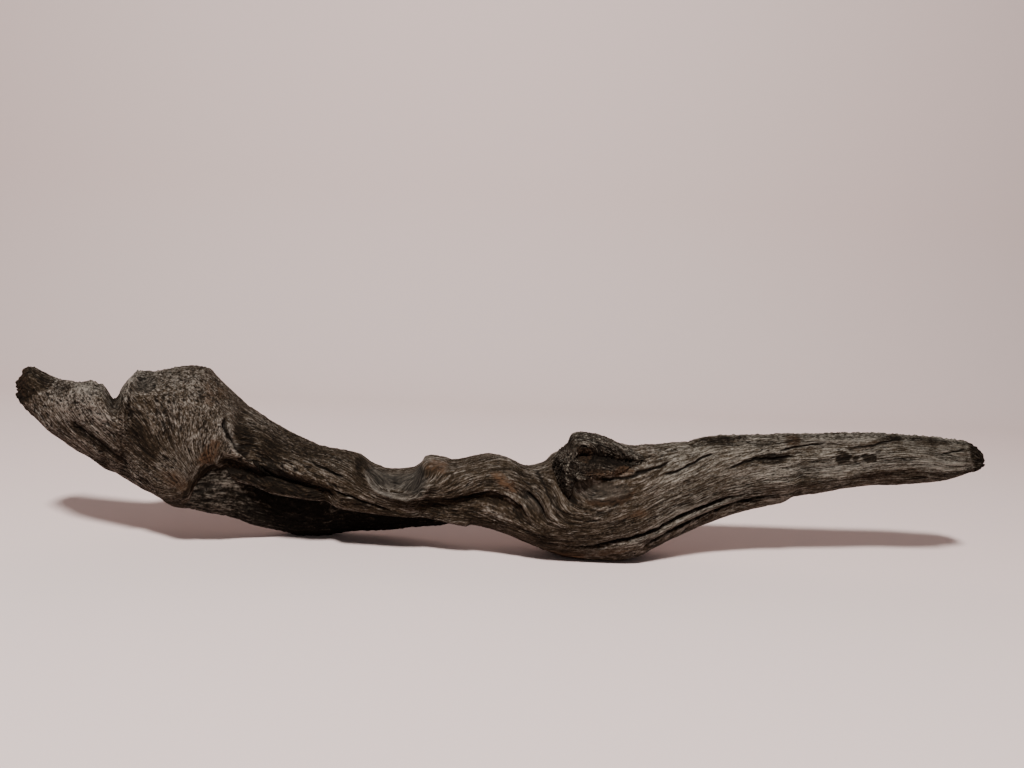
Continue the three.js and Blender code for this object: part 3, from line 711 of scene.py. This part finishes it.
# Pale worn edges of the front, the rib's partly a painted highlight where its edge catches the light:
# half width, strength and line
EDGES = [
    ("facet rim", 2.5, 0.6, [[-460, 195], [-452, 191], [-440, 191], [-431, 196], [-431, 206]]),
    ("facet crest", 2.5, 0.5, [[-466, 208], [-456, 212], [-444, 213], [-434, 214]]),
    ("burl crack lip", 1.6, 0.6, [
        [-359, 168], [-356, 157], [-351, 147], [-345, 138], [-340, 130], [-332, 121]]),
    ("zigzag", 1.5, 0.8, [
        [-388, 84], [-383, 96], [-380, 106], [-374, 112], [-366, 109], [-358, 114], [-355, 104]]),
    # Painted highlight along the rib's lower edge, on top of its wear.
    ("rib", 2, 1.2, [
        [-357, 106], [-352, 96], [-346, 88], [-330, 85], [-314, 79], [-300, 72], [-283, 70], [-260, 68],
        [-241, 64], [-219, 60], [-196, 54], [-155, 47]]),
    ("bowl lip", 1.8, 1.1, [
        [-194, 112], [-186, 105], [-180, 98], [-171, 87], [-156, 81], [-139, 78], [-122, 79], [-106, 82],
        [-96, 90]]),
    ("flow ridge", 1.0, 0.35, [[-12, 121], [1, 110], [15, 99], [27, 94], [37, 86], [46, 77], [56, 66]]),
    ("swirl corner", 2.2, 0.8, [[-119, 104], [-115, 113], [-108, 116], [-96, 115], [-84, 112]]),
    ("stub rim", 1.5, 0.6, [[66, 88], [60, 104], [58, 124], [64, 140]]),
    ("limb edge", 1.6, 0.3, [[345, 114], [367, 120], [398, 126], [428, 133], [491, 137], [556, 138]]),
    ("cap edge", 2, 0.4, [[584, 170], [579, 160], [584, 148], [594, 134]]),
]
# Grey tints of the wood; the bowl's patch also paints shade inside the hollow of the bowl.
SMOKY_AND_SHADE = [
    ("bowl", 3, 0.9, [
        [-185, 105], [-178, 104], [-163, 104], [-139, 104], [-116, 108], [-109, 99], [-117, 83],
        [-139, 80], [-158, 81], [-172, 89]]),
    ("facet", 3, 0.7, [[-457, 199], [-457, 207], [-444, 208], [-433, 202], [-437, 193], [-451, 193]]),
    ("lens", 3, 0.4, [[10, 92], [21, 85], [31, 79], [36, 70], [28, 68], [17, 75], [9, 82]]),
    ("lip bulge", 4, 0.55, [
        [66, 106], [83, 110], [99, 109], [116, 107], [134, 104], [139, 98], [128, 90], [108, 87],
        [87, 87], [70, 94]]),
    ("limb band", 4, 0.35, [
        [340, 132], [430, 142], [560, 152], [576, 146], [540, 140], [430, 134], [350, 122]]),
]


def on_front(facing):
    """1 on the front, eased to 0 before the surface turns away."""
    return smooth(0.05, 0.3, facing)


def painted(patches, x, z, facing):
    """How strongly a set of patches covers the front: the strongest patch wins."""
    cover = np.zeros(np.shape(x))
    for _, soft, strength, outline in patches:
        cover = np.maximum(cover, strength * inside(outline, x, z, soft))
    return cover * on_front(facing)


def edged(x, z, facing):
    """How strongly the worn edges cover the front: a bell across each line."""
    cover = np.zeros(np.shape(x))
    for _, half, strength, line in EDGES:
        far, _, share = to_line(line, x, z)
        cover = np.maximum(cover, strength * tapered(share, 0.15) * bell(far / half))
    return cover * on_front(facing)


def cracked(x, z, facing, place):
    """Depth and darkness of the open cracks: a bell across each line, which narrows and runs out
    at its ends and wavers a little on the way."""
    depth, dark = np.zeros(x.shape), np.zeros(x.shape)
    x, z = x + 1.2 * MIDDLE(place / 12), z + 1.2 * MIDDLE(place / 12 + 5)
    for _, half, deep, line in CRACKS:
        far, _, share = to_line(line, x, z)
        open_here = tapered(share, 0.2)
        cut = facing * open_here * bell(far / (half * mix(0.4, 1, open_here)))
        depth = np.maximum(depth, deep * cut)
        dark = np.maximum(dark, cut)
    return depth, dark


def wood_facts(place, facing, turn_fibres, pits, rough, pale):
    """Rise of the surface, the facts that its finish reads and how bleached it is, for wood with
    long fibres and fan fibres mixed by a share."""
    along, fan, share = turn_fibres
    x, _, z = np.moveaxis(place, -1, 0)
    plain = weathered(along, place, pits, rough)
    if share.any():
        spread = weathered(fan, place, pits, rough)
        plain = [mix(a, b, share) for a, b in zip(plain, spread)]
    rise, dark, streak = plain
    depth, gap_dark = cracked(x, z, facing, place)
    ragged_x, ragged_z = x + 2.5 * MIDDLE(place / 7 + 4), z + 8 * streak
    # Dark patches, partly stains and partly painted shade in hollows and under overhangs; they darken and
    # dull the wood.
    stain_and_shade = painted(STAINS_AND_SHADE, ragged_x, ragged_z, facing) * (0.8 + 0.4 * COARSE(place / 15 + 2))
    edge = edged(x + 1.5 * MIDDLE(place / 9 + 6), z + 4 * streak, facing)
    bleach = np.maximum(painted(BLEACHED, ragged_x, ragged_z, facing), edge)
    facts = {
        "pale": unit(pale + streak + 0.35 * bleach - 0.6 * stain_and_shade * (1 - edge)),
        "dark": unit(np.maximum(dark * (1 - 0.5 * bleach), gap_dark) + 0.7 * stain_and_shade**2 * (1 - edge)),
        "rust": painted(RUSTY, ragged_x, ragged_z, facing) * (0.85 + 0.35 * MIDDLE(place / 8)),
        "smoke": painted(SMOKY_AND_SHADE, x, z, facing),
        "worn": pits,
        "fan": share,
        "fibre_long": along,
        "fibre_fan": fan,
    }
    return rise - depth, facts, unit(bleach)


def shaded(points, normal, facts, bleach):
    """Facts with painted shade: darker and less pale in hollows at two scales, less so where it is
    bleached, and darker on surfaces that face down; ridges come out paler."""
    small, large = (hollowness(points, normal, reach) for reach in (3, 9))
    sunk = np.clip(0.6 * small + 0.2 * large, -1, 1) * (1 - 0.8 * bleach)
    # Painted shade on surfaces that face down.
    under = smooth(0.1, -0.8, normal[..., 2])
    return {
        **facts,
        "pale": unit(facts["pale"] - 0.25 * sunk - 0.12 * under),
        "dark": unit(facts["dark"] + 0.45 * np.maximum(sunk, 0) + 0.2 * under),
    }


# Meshes
def placed(points):
    """Points moved to the log's place, and held inside the solids' box and above the ground."""
    low, high = (np.array(corner) / MM for corner in cad_box)
    return np.clip(points + [0, SHIFT_Y, 0], low, high)


def dressed(points, lift, facts, bleach):
    """Points lifted along their normals and put in place, with their new normals and facts."""
    points = placed(points + lift[..., None] * normals_of(points))
    normal = normals_of(points)
    return points, normal, shaded(points, normal, facts, bleach)


def wrapped(rings, around):
    """Corners of a closed grid's faces: quads between its rings, and a fan over each end, whose
    poles come after the grid's points."""
    i, j = np.arange(rings - 1)[:, None], np.arange(around)[None]
    a, b = i * around + j, i * around + (j + 1) % around
    quads = stack(a, a + around, b + around, b).reshape(-1, 4)
    ring = np.arange(around)
    following = (ring + 1) % around
    last = (rings - 1) * around
    pole = rings * around
    fans = [stack(pole, ring, following), stack(pole + 1, last + following, last + ring)]
    return quads, np.concatenate(fans)


def unrolled(rings, around):
    """The map of the same corners: the rings side by side, and the two fans as discs in a strip of
    their own."""
    skin_share = 0.96
    i, j = np.arange(rings - 1)[:, None], np.arange(around)[None]
    u, v = np.broadcast_arrays(skin_share * i / (rings - 1), j / around)
    du, dv = skin_share / (rings - 1), 1 / around
    quads = np.stack([stack(u, v), stack(u + du, v), stack(u + du, v + dv), stack(u, v + dv)], 2)
    ring = np.arange(around)
    angle = stack(0 * ring, ring, (ring + 1) % around) * 2 * math.pi / around
    radius = np.array([0.0, 1.0, 1.0]) * (1 - skin_share) / 2.2
    disc = stack(np.cos(angle) * radius, np.sin(angle) * radius)
    fans = [disc + [(1 + skin_share) / 2, height] for height in (0.25, 0.75)]
    return np.concatenate([quads.ravel(), *(fan.ravel() for fan in fans)])


def piece(name, points, normal, facts, finish, node):
    """A closed mesh from rings of points, with a pole in the middle of each end."""
    rings, around = points.shape[:2]
    poles = np.array([points[0].mean(0), points[-1].mean(0)])
    spots = np.concatenate([points.reshape(-1, 3), poles]) * MM
    quads, fans = wrapped(rings, around)
    corners = np.concatenate([quads.ravel(), fans.ravel()])
    sizes = np.r_[np.full(len(quads), 4), np.full(len(fans), 3)]
    mesh = bpy.data.meshes.new(name)
    mesh.vertices.add(len(spots))
    mesh.vertices.foreach_set("co", spots.astype(np.float32).ravel())
    mesh.loops.add(len(corners))
    mesh.loops.foreach_set("vertex_index", corners.astype(np.int32))
    mesh.polygons.add(len(sizes))
    mesh.polygons.foreach_set("loop_start", np.r_[0, np.cumsum(sizes)[:-1]].astype(np.int32))
    mesh.polygons.foreach_set("use_smooth", np.ones(len(sizes), bool))
    mesh.update(calc_edges=True)
    layer = mesh.uv_layers.new(name="OFBake")
    layer.data.foreach_set("uv", unrolled(rings, around).astype(np.float32))
    for fact, values in facts.items():
        flat = values.reshape(rings * around, -1)
        flat = np.concatenate([flat, flat[:1], flat[-1:]]).astype(np.float32)
        kind, field = ("FLOAT_VECTOR", "vector") if flat.shape[1] == 3 else ("FLOAT", "value")
        mesh.attributes.new(fact, kind, "POINT").data.foreach_set(field, flat.ravel())
    ends = np.array([[-1.0, 0, 0], [1.0, 0, 0]])
    mesh.normals_split_custom_set_from_vertices(np.concatenate([normal.reshape(-1, 3), ends]).tolist())
    mesh.materials.append(finish.material)
    made = bpy.data.objects.new(name, mesh)
    bpy.context.scene.collection.objects.link(made)
    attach(made, "root")
    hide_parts(node)


# Shader maths
class Wire:
    """A value in a material's nodes. Python's operators on it add Math nodes."""

    def __init__(self, finish, socket):
        self.finish, self.socket = finish, socket

    def _math(self, operation, *values):
        return self.finish.add("Math", {"operation": operation}, dict(enumerate(values)))

    def __add__(self, other):
        return self._math("ADD", self, other)

    def __sub__(self, other):
        return self._math("SUBTRACT", self, other)

    def __rsub__(self, other):
        return self._math("SUBTRACT", other, self)

    def __mul__(self, other):
        return self._math("MULTIPLY", self, other)

    __radd__ = __add__
    __rmul__ = __mul__

    def size(self):
        """The value without its sign."""
        return self._math("ABSOLUTE", self)

    def held(self):
        """The value kept between 0 and 1."""
        return self.finish.add("Clamp", {}, {0: self})


class Finish:
    """A material, with one method that adds any node."""

    def __init__(self, name):
        self.name = name
        self.material = bpy.data.materials.new(name)
        self.material.use_nodes = True
        self.tree = self.material.node_tree
        self.tree.nodes.clear()

    def add(self, kind, settings, sockets, out=0):
        """Adds a node: its settings first, with a ramp's stops among them, then its sockets by name
        or number, and gives its output back."""
        node = self.tree.nodes.new("ShaderNode" + kind)
        for name, value in settings.items():
            if name == "stops":
                for stop in value[2:]:
                    node.color_ramp.elements.new(stop[0])
                for element, (place, colour) in zip(node.color_ramp.elements, value):
                    element.position, element.color = place, (*colour, 1)
            else:
                setattr(node, name, value)
        for name, value in sockets.items():
            socket = node.inputs[name]
            if isinstance(value, Wire):
                self.tree.links.new(value.socket, socket)
            else:
                socket.default_value = value
        return Wire(self, node.outputs[out]) if len(node.outputs) else None

    def fact(self, name):
        """A number that the mesh carries at each point."""
        return self.add("Attribute", {"attribute_name": name}, {}, "Fac")

    def place(self, name):
        """Coordinates that the mesh carries at each point."""
        return self.add("Attribute", {"attribute_name": name}, {}, "Vector")

    def blend(self, first, second, share):
        """Colour mix: the first where share is 0."""
        sockets = {0: share, 6: first, 7: second}
        return self.add("Mix", {"data_type": "RGBA"}, sockets, 2)

    def streaks(self, place, length, width, detail):
        """Noise drawn out along the fibres, about 0.5 on average."""
        scaled = self.add(
            "VectorMath", {"operation": "MULTIPLY"}, {0: place, 1: (1 / length, 1 / width, 1 / width)}
        )
        return self.add("TexNoise", {}, {"Vector": scaled, "Scale": 1.0, "Detail": detail}, "Fac")


def opaque(*colour):
    """A colour with full cover."""
    return (*colour, 1.0)


# The last colour is near-black, for gaps in the grain and for painted shade.
RUST, SMOKE_AND_SHADE, GAP_AND_SHADE_BLACK = (0.074, 0.039, 0.0205), (0.058, 0.052, 0.045), (0.004, 0.003, 0.0022)


def weathered_wood(name, brown, grey, silver):
    """Bare, sea-worn wood: brown, grey and silver by how pale it is, threads of fibre at two scales, rust
    and grey tints, and near-black for gaps, flecks and the painted shade held in the dark fact."""
    finish = Finish(name)
    fan = finish.fact("fan")
    long_way, fan_way = finish.place("fibre_long"), finish.place("fibre_fan")

    def threads(length, width, detail=2.0):
        long_threads = finish.streaks(long_way, length, width, detail)
        fan_threads = finish.streaks(fan_way, length, width, detail)
        return long_threads + (fan_threads - long_threads) * fan

    hairs = threads(length=9, width=1.25, detail=3.0)
    bands = threads(length=24, width=2.6)
    grit = threads(length=2.4, width=1.5)
    flecks = threads(length=5, width=1.6, detail=1.0)
    gaps = threads(length=36, width=2.2, detail=1.0)
    worn = finish.fact("worn")
    ridge = ((bands - 0.38) * 4.5).held()
    fleck = ((flecks - (0.7 - 0.17 * worn)) * 10).held()
    gap = (1 - 22 * (gaps - 0.5).size()).held() * ((hairs - 0.42) * 7).held()
    smoke = finish.fact("smoke")
    grain = 1.6 * (hairs - 0.5) + 0.25 * (ridge - 0.5) + (0.9 + 0.4 * worn) * (grit - 0.5)
    pale = finish.fact("pale") + grain * (1 - 0.25 * smoke)
    stops = [(0.0, tuple(0.4 * c for c in brown)), (0.3, brown), (0.6, grey), (0.95, silver)]
    wood = finish.add("ValToRGB", {"stops": stops}, {0: pale})
    rust = (finish.fact("rust") * (0.35 + 1.1 * bands)).held()
    wood = finish.blend(wood, opaque(*RUST), rust)
    wood = finish.blend(wood, opaque(*SMOKE_AND_SHADE), smoke * 0.55)
    # Near-black for the gaps and flecks of the grain and for the dark fact, which carries painted shade
    # from hollows, undersides and shaded patches.
    hollow = (finish.fact("dark") + 0.85 * fleck + 0.8 * gap + 0.25 * (1 - ridge)).held()
    wood = finish.blend(wood, opaque(*GAP_AND_SHADE_BLACK), hollow * 0.9)
    height = hairs * 0.7 + ridge * 0.2 + grit * 0.5 - hollow * 0.9
    bump = finish.add("Bump", {}, {"Height": height, "Strength": 0.8, "Distance": 0.001})
    shell = finish.add(
        "BsdfPrincipled", {},
        {"Base Color": wood, "Roughness": 0.95 - 0.15 * pale, "Normal": bump,
         "Specular IOR Level": 0.06},
    )
    finish.add("OutputMaterial", {}, {"Surface": shell})
    return finish


BROWN, GREY, SILVER = (0.032, 0.0205, 0.0115), (0.076, 0.0585, 0.0435), (0.192, 0.163, 0.134)
arm_wood = weathered_wood("arm_wood", BROWN, GREY, SILVER)
trunk_wood = weathered_wood("trunk_wood", BROWN, GREY, SILVER)
limb_wood = weathered_wood("limb_wood", BROWN, (0.075, 0.0605, 0.045), (0.19, 0.164, 0.134))
knot_wood = weathered_wood("knot_wood", (0.02, 0.0135, 0.0085), (0.055, 0.043, 0.032),
                           (0.17, 0.147, 0.118))
# The root's palette is darkened as painted shade, for the shadow of the log above it, on top of its dark
# wood.
root_wood = weathered_wood("root_wood", (0.007, 0.0045, 0.0025), (0.038, 0.03, 0.022),
                           (0.115, 0.097, 0.077))


# The log: arm, trunk in two parts, and limb share their rings, so no seam shows. Each stretch of it
# has its own number of rings, and further rings close its two ends
AROUND = 250
SPANS = [(TIP_LEFT, CUT_ARM, 96), (CUT_ARM, -345, 120), (-345, CUT_WAIST, 84),
         (CUT_WAIST, CUT_LIMB, 310), (CUT_LIMB, 400, 130), (400, TIP_RIGHT, 130)]
CAP_SHARES = np.array([0.12, 0.3, 0.5, 0.68, 0.82, 0.92])
# The crumbly wood of the two ends: how far it reaches from the left tip, and how the edge of the
# right cap slants about its middle height
TIP_REACH = 34
CAP_SLANT = 0.28
CAP_MIDDLE = 130


def end_rings(ring, shares, lean_in):
    """Rings that close a broken end: the end ring drawn in towards its middle and sunk by up to
    lean_in, with a rough dip at the heart."""
    middle = ring.mean(0)
    drawn = middle + shares[:, None, None] * (ring - middle)
    drawn[..., 0] += lean_in * (1 - shares[:, None] ** 2) * (0.6 + 0.8 * MIDDLE(drawn / 7))
    return drawn


def make_log():
    """The log's skin with its weather, cut into four pieces along its rings."""
    spans = [np.linspace(a, b, n, endpoint=False) for a, b, n in SPANS]
    x = np.concatenate([*spans, [TIP_RIGHT]])
    turn = even_turns(log_skin, x, AROUND, front_share=1.7)
    points, facing = log_skin(x[:, None], turn)
    caps = len(CAP_SHARES)
    core = np.r_[CAP_SHARES, np.ones(len(x)), CAP_SHARES[::-1]][:, None]
    left = end_rings(points[0], CAP_SHARES, lean_in=2)
    right = end_rings(points[-1], CAP_SHARES[::-1], lean_in=-1)
    points = np.concatenate([left, points, right])
    turn, facing = (np.pad(grid, ((caps, caps), (0, 0)), mode="edge") for grid in (turn, facing))

    px, _, pz = np.moveaxis(points, -1, 0)
    tip = 1 - smooth(0, TIP_REACH, px - TIP_LEFT)
    cap = smooth(-30, -10, px - TIP_RIGHT + CAP_SLANT * (pz - CAP_MIDDLE))
    heart = 1 - smooth(0.9, 1, core)
    crest = smooth(0.7, 0.97, normals_of(points)[..., 2]) * curve(CREST_LINE)(px)
    rough = np.maximum(np.maximum(tip, cap) * 1.6, np.maximum(crest, heart))
    pits = unit(curve(PIT_LINE)(px) * mix(0.55, 1, facing))
    pale = curve(PALE_LINE)(px) - 0.25 * heart
    along, fan, share = log_fibres(points, turn)
    fibres = along * stack(1, core, core), fan, share
    rise, facts, bleach = wood_facts(points, facing, fibres, pits, rough, pale)
    points, normal, facts = dressed(points, rise - 0.6, facts, bleach)

    edges = {at: caps + int(np.argmin(np.abs(x - at))) for at in (CUT_ARM, CUT_WAIST, CUT_LIMB)}
    parts = [
        ("left_arm_wood", 0, edges[CUT_ARM] + 1, arm_wood, "left_arm"),
        ("burl_wood", edges[CUT_ARM], edges[CUT_WAIST] + 1, trunk_wood, "trunk"),
        ("belly_wood", edges[CUT_WAIST], edges[CUT_LIMB] + 1, trunk_wood, "trunk"),
        ("right_limb_wood", edges[CUT_LIMB], len(points), limb_wood, "right_limb"),
    ]
    for name, start, end, finish, node in parts:
        own = {fact: values[start:end] for fact, values in facts.items()}
        piece(name, points[start:end], normal[start:end], own, finish, node)


# Under root
ROOT_RINGS = 260
ROOT_AROUND = 150
ROOT_GIRTH = 32
root_top = curve([[-446, 84], [-400, 112], [-350, 122], [-300, 108], [-250, 94], [-200, 86],
                  [-150, 78], [-100, 70], [-52, 54]])
root_bottom = curve([[-446, 64], [-430, 57], [-415, 51], [-400, 44], [-388, 39], [-378, 36], [-350, 28],
                     [-330, 18], [-305, 8], [-287, 1], [-276, -2.5], [-244, -2.5], [-228, 1],
                     [-197, 6], [-171, 8], [-123, 14], [-93, 19], [-70, 26], [-52, 36]])
root_mid = curve([[-446, 2], [-400, 0], [-370, 3], [-345, 9], [-320, 18], [-290, 26],
                  [-262, 31], [-190, 33], [-150, 32], [-110, 29], [-52, 20]])
root_half = curve([[-446, 12], [-425, 34], [-400, 45], [-370, 46], [-345, 42], [-320, 34],
                   [-290, 28], [-262, 27], [-230, 21], [-190, 18], [-150, 16], [-110, 13],
                   [-80, 10], [-52, 5]])


def root_skin(x, turn):
    """The root's squared-off oval section, leaning slightly forwards."""
    mid, half = root_mid(x), root_half(x)
    box = section(root_top(x), root_bottom(x), mid - half, mid + half,
                  widest=0.5, leaning=-0.08, squareness=2.6)
    y, z, facing = oval(box, turn, lambda py, pz, _: 0.8 * waves(x, py, pz))
    return stack(x + 0 * y, y, z), facing


def make_root():
    """The root, plain on all sides: its fibres run along it, and only its left end is lit."""
    x = np.linspace(ROOT_LEFT, ROOT_RIGHT, ROOT_RINGS)
    turn = even_turns(root_skin, x, ROOT_AROUND, front_share=1.3)
    points, facing = root_skin(x[:, None], turn)
    along = stack(points[..., 0], ROOT_GIRTH * np.cos(turn), ROOT_GIRTH * np.sin(turn))
    none = np.zeros(facing.shape)
    lit = smooth(-285, -360, points[..., 0])
    fibres = along, along, none
    pits, rough, pale = 0.4 + none, 0.35 + none, 0.1 + 0.42 * lit
    rise, facts, bleach = wood_facts(points, none, fibres, pits, rough, pale)
    facts["dark"] = unit(facts["dark"] + 0.3 - 0.3 * lit)
    points, normal, facts = dressed(points, 1.3 * rise - 0.6, facts, bleach)
    piece("under_root_wood", points, normal, facts, root_wood, "under_root")


# Knot stub
STUB_RINGS = 180
STUB_AROUND = 220
stub_top = curve([[44, 124], [48, 134], [52, 139], [57, 143], [62, 147], [65, 153], [67, 158],
                  [73, 161], [82, 162], [98, 160], [117, 155], [136, 147], [150, 141], [160, 136],
                  [168, 130]])
stub_bottom = curve([[44, 118], [50, 104], [57, 93], [64, 87], [70, 95], [79, 107], [92, 113],
                     [110, 115], [126, 117], [145, 120], [160, 124], [168, 127]])
stub_front = curve([[44, -30], [50, -45], [60, -57], [76, -63], [98, -61], [120, -55], [136, -48],
                    [150, -40], [160, -34], [168, -28]])
stub_back = curve([[44, -24], [56, 2], [80, 14], [115, 10], [150, -8], [168, -24]])
# The eye of the knot, and the angle at which the fibres fall past it
EYE = (80, 142)
EYE_RADIUS = 14
EYE_FALL = math.radians(-16)
# Ridges and hollows of the broken face: width, rise and line
STUB_FOLDS = [
    ("hollow", 12, -13, [[80, 143], [96, 141], [116, 138], [140, 132]]),
    ("eye", 5, -6, [[80, 145], [84, 143]]),
    ("flange", 4, 4, [[70, 158], [84, 158], [104, 155], [126, 149], [142, 143]]),
    ("lower lip", 5, 6, [[72, 117], [88, 121], [109, 122], [139, 125]]),
    ("left rim", 6, 5, [[64, 88], [57, 106], [57, 128], [66, 146]]),
    ("rim valley", 4, -5, [[72, 98], [67, 116], [68, 134], [76, 148]]),
]


def stub_skin(x, turn):
    """The stub's squared-off oval section with the folds of its broken face."""
    box = section(stub_top(x), stub_bottom(x), stub_front(x), stub_back(x),
                  widest=0.5, leaning=0.12, squareness=2.5)

    def folded(_, pz, facing):
        rise = 0
        for _, width, height, line in STUB_FOLDS:
            rise = rise + facing * height * bell(to_line(line, x + 0 * pz, pz)[0] / width)
        return rise

    y, z, facing = oval(box, turn, folded)
    return stack(x + 0 * y, y, z), facing


def eye_fibres(points):
    """Fibre coordinates of the stub's face: the fibres fall to the right, part round the eye as
    water does round a post, and ring it inside."""
    px, py, pz = np.moveaxis(points, -1, 0)
    off_x, off_z = px - EYE[0], pz - EYE[1]
    run = off_x * math.cos(EYE_FALL) + off_z * math.sin(EYE_FALL)
    across = off_z * math.cos(EYE_FALL) - off_x * math.sin(EYE_FALL)
    far = np.hypot(off_x, off_z)
    parted = across * (1 - EYE_RADIUS**2 / np.maximum(far, EYE_RADIUS) ** 2)
    outside = smooth(EYE_RADIUS - 3, EYE_RADIUS + 3, far)
    return stack(run, mix(far - EYE_RADIUS, parted, outside), py)


def make_stub():
    """The knot stub: its fibres part round the eye and join the log's own to the right."""
    x = np.linspace(STUB_LEFT, STUB_RIGHT, STUB_RINGS)
    turn = even_turns(stub_skin, x, STUB_AROUND, front_share=1.6)
    points, facing = stub_skin(x[:, None], turn)
    px, py, pz = np.moveaxis(points, -1, 0)
    box = log_box(px)
    u = (box["mid_y"] - py) / (box["mid_y"] - box["front"])
    v = (pz - box["mid_z"]) / (box["top"] - box["mid_z"])
    along = log_fibres(points, np.arctan2(v, u))[0]
    fibres = along, eye_fibres(points), 1 - smooth(112, 140, px)
    pits, rough, pale = 0.6 + 0 * px, 0.45 + 0 * px, mix(0.37, 0.44, smooth(100, 150, px))
    rise, facts, bleach = wood_facts(points, facing, fibres, pits, rough, pale)
    points, normal, facts = dressed(points, 1.8 * rise - 0.5, facts, bleach)
    piece("knot_stub_wood", points, normal, facts, knot_wood, "knot_stub")


make_log()
make_root()
make_stub()


# Stage, light and camera
def sweep():
    """A plain floor that curves up behind: a profile of floor, quarter circle and wall, carried
    along X."""
    bend, start, rise = 0.6, 1.0, 2.6
    near, half_width = -4.0, 5.0
    arc = np.linspace(0, math.pi / 2, 25)
    y = np.r_[near, start, start + bend * np.sin(arc[1:]), start + bend]
    z = np.r_[0, 0, bend * (1 - np.cos(arc[1:])), bend + rise]
    x = np.array([-half_width, half_width])
    spots = stack(x[:, None], y[None], z[None]).reshape(-1, 3)
    j, n = np.arange(len(y) - 1), len(y)
    mesh = bpy.data.meshes.new("floor")
    mesh.from_pydata(spots.tolist(), [], stack(j, j + n, j + n + 1, j + 1).tolist())
    mesh.polygons.foreach_set("use_smooth", [True] * len(mesh.polygons))
    pale = Finish("pale_floor")
    shell = pale.add("BsdfPrincipled", {}, {"Base Color": opaque(0.74, 0.59, 0.55), "Roughness": 0.8})
    pale.add("OutputMaterial", {}, {"Surface": shell})
    mesh.materials.append(pale.material)
    floor = bpy.data.objects.new("floor", mesh)
    bpy.context.scene.collection.objects.link(floor)


def soft_light(name, place, target, size, power):
    """A round area light at a place, turned to a target."""
    lamp = bpy.data.lights.new(name, "AREA")
    lamp.shape = "DISK"
    lamp.size, lamp.energy = size, power
    made = bpy.data.objects.new(name, lamp)
    made.location = place
    made.rotation_mode = "QUATERNION"
    made.rotation_quaternion = (Vector(target) - Vector(place)).to_track_quat("-Z", "Y")
    bpy.context.scene.collection.objects.link(made)


def aim_camera():
    """The photograph's camera: turned by yaw, tipped down by pitch and rolled about its view."""
    yaw, pitch, roll = (math.radians(a) for a in (CAMERA_YAW, CAMERA_PITCH, CAMERA_ROLL))
    right = Vector((math.cos(yaw), math.sin(yaw), 0))
    ahead = Vector((-math.sin(yaw), math.cos(yaw), 0))
    above = Vector((0, 0, 1))
    view = ahead * math.cos(pitch) - above * math.sin(pitch)
    upright = above * math.cos(pitch) + ahead * math.sin(pitch)
    across = right * math.cos(roll) + upright * math.sin(roll)
    upward = upright * math.cos(roll) - right * math.sin(roll)
    lens = bpy.data.cameras.new("camera")
    lens.sensor_width = 36
    lens.sensor_fit = "HORIZONTAL"
    lens.lens = FOCAL * lens.sensor_width / PHOTO_WIDTH
    camera = bpy.data.objects.new("camera", lens)
    turn = Matrix((across, upward, -view)).transposed().to_4x4()
    camera.matrix_world = Matrix.Translation(CAMERA_PLACE) @ turn
    bpy.context.scene.collection.objects.link(camera)
    bpy.context.scene.camera = camera


def light_room():
    """A faint, cool room light and one soft lamp above the camera."""
    world = bpy.data.worlds.new("room")
    world.use_nodes = True
    glow = world.node_tree.nodes["Background"]
    glow.inputs["Color"].default_value = opaque(0.95, 0.97, 1.0)
    glow.inputs["Strength"].default_value = 0.16
    bpy.context.scene.world = world
    soft_light("key", place=(-0.26, -1.71, 2.7), target=(0, 0, 0.1), size=0.4, power=175)


sweep()
aim_camera()
light_room()
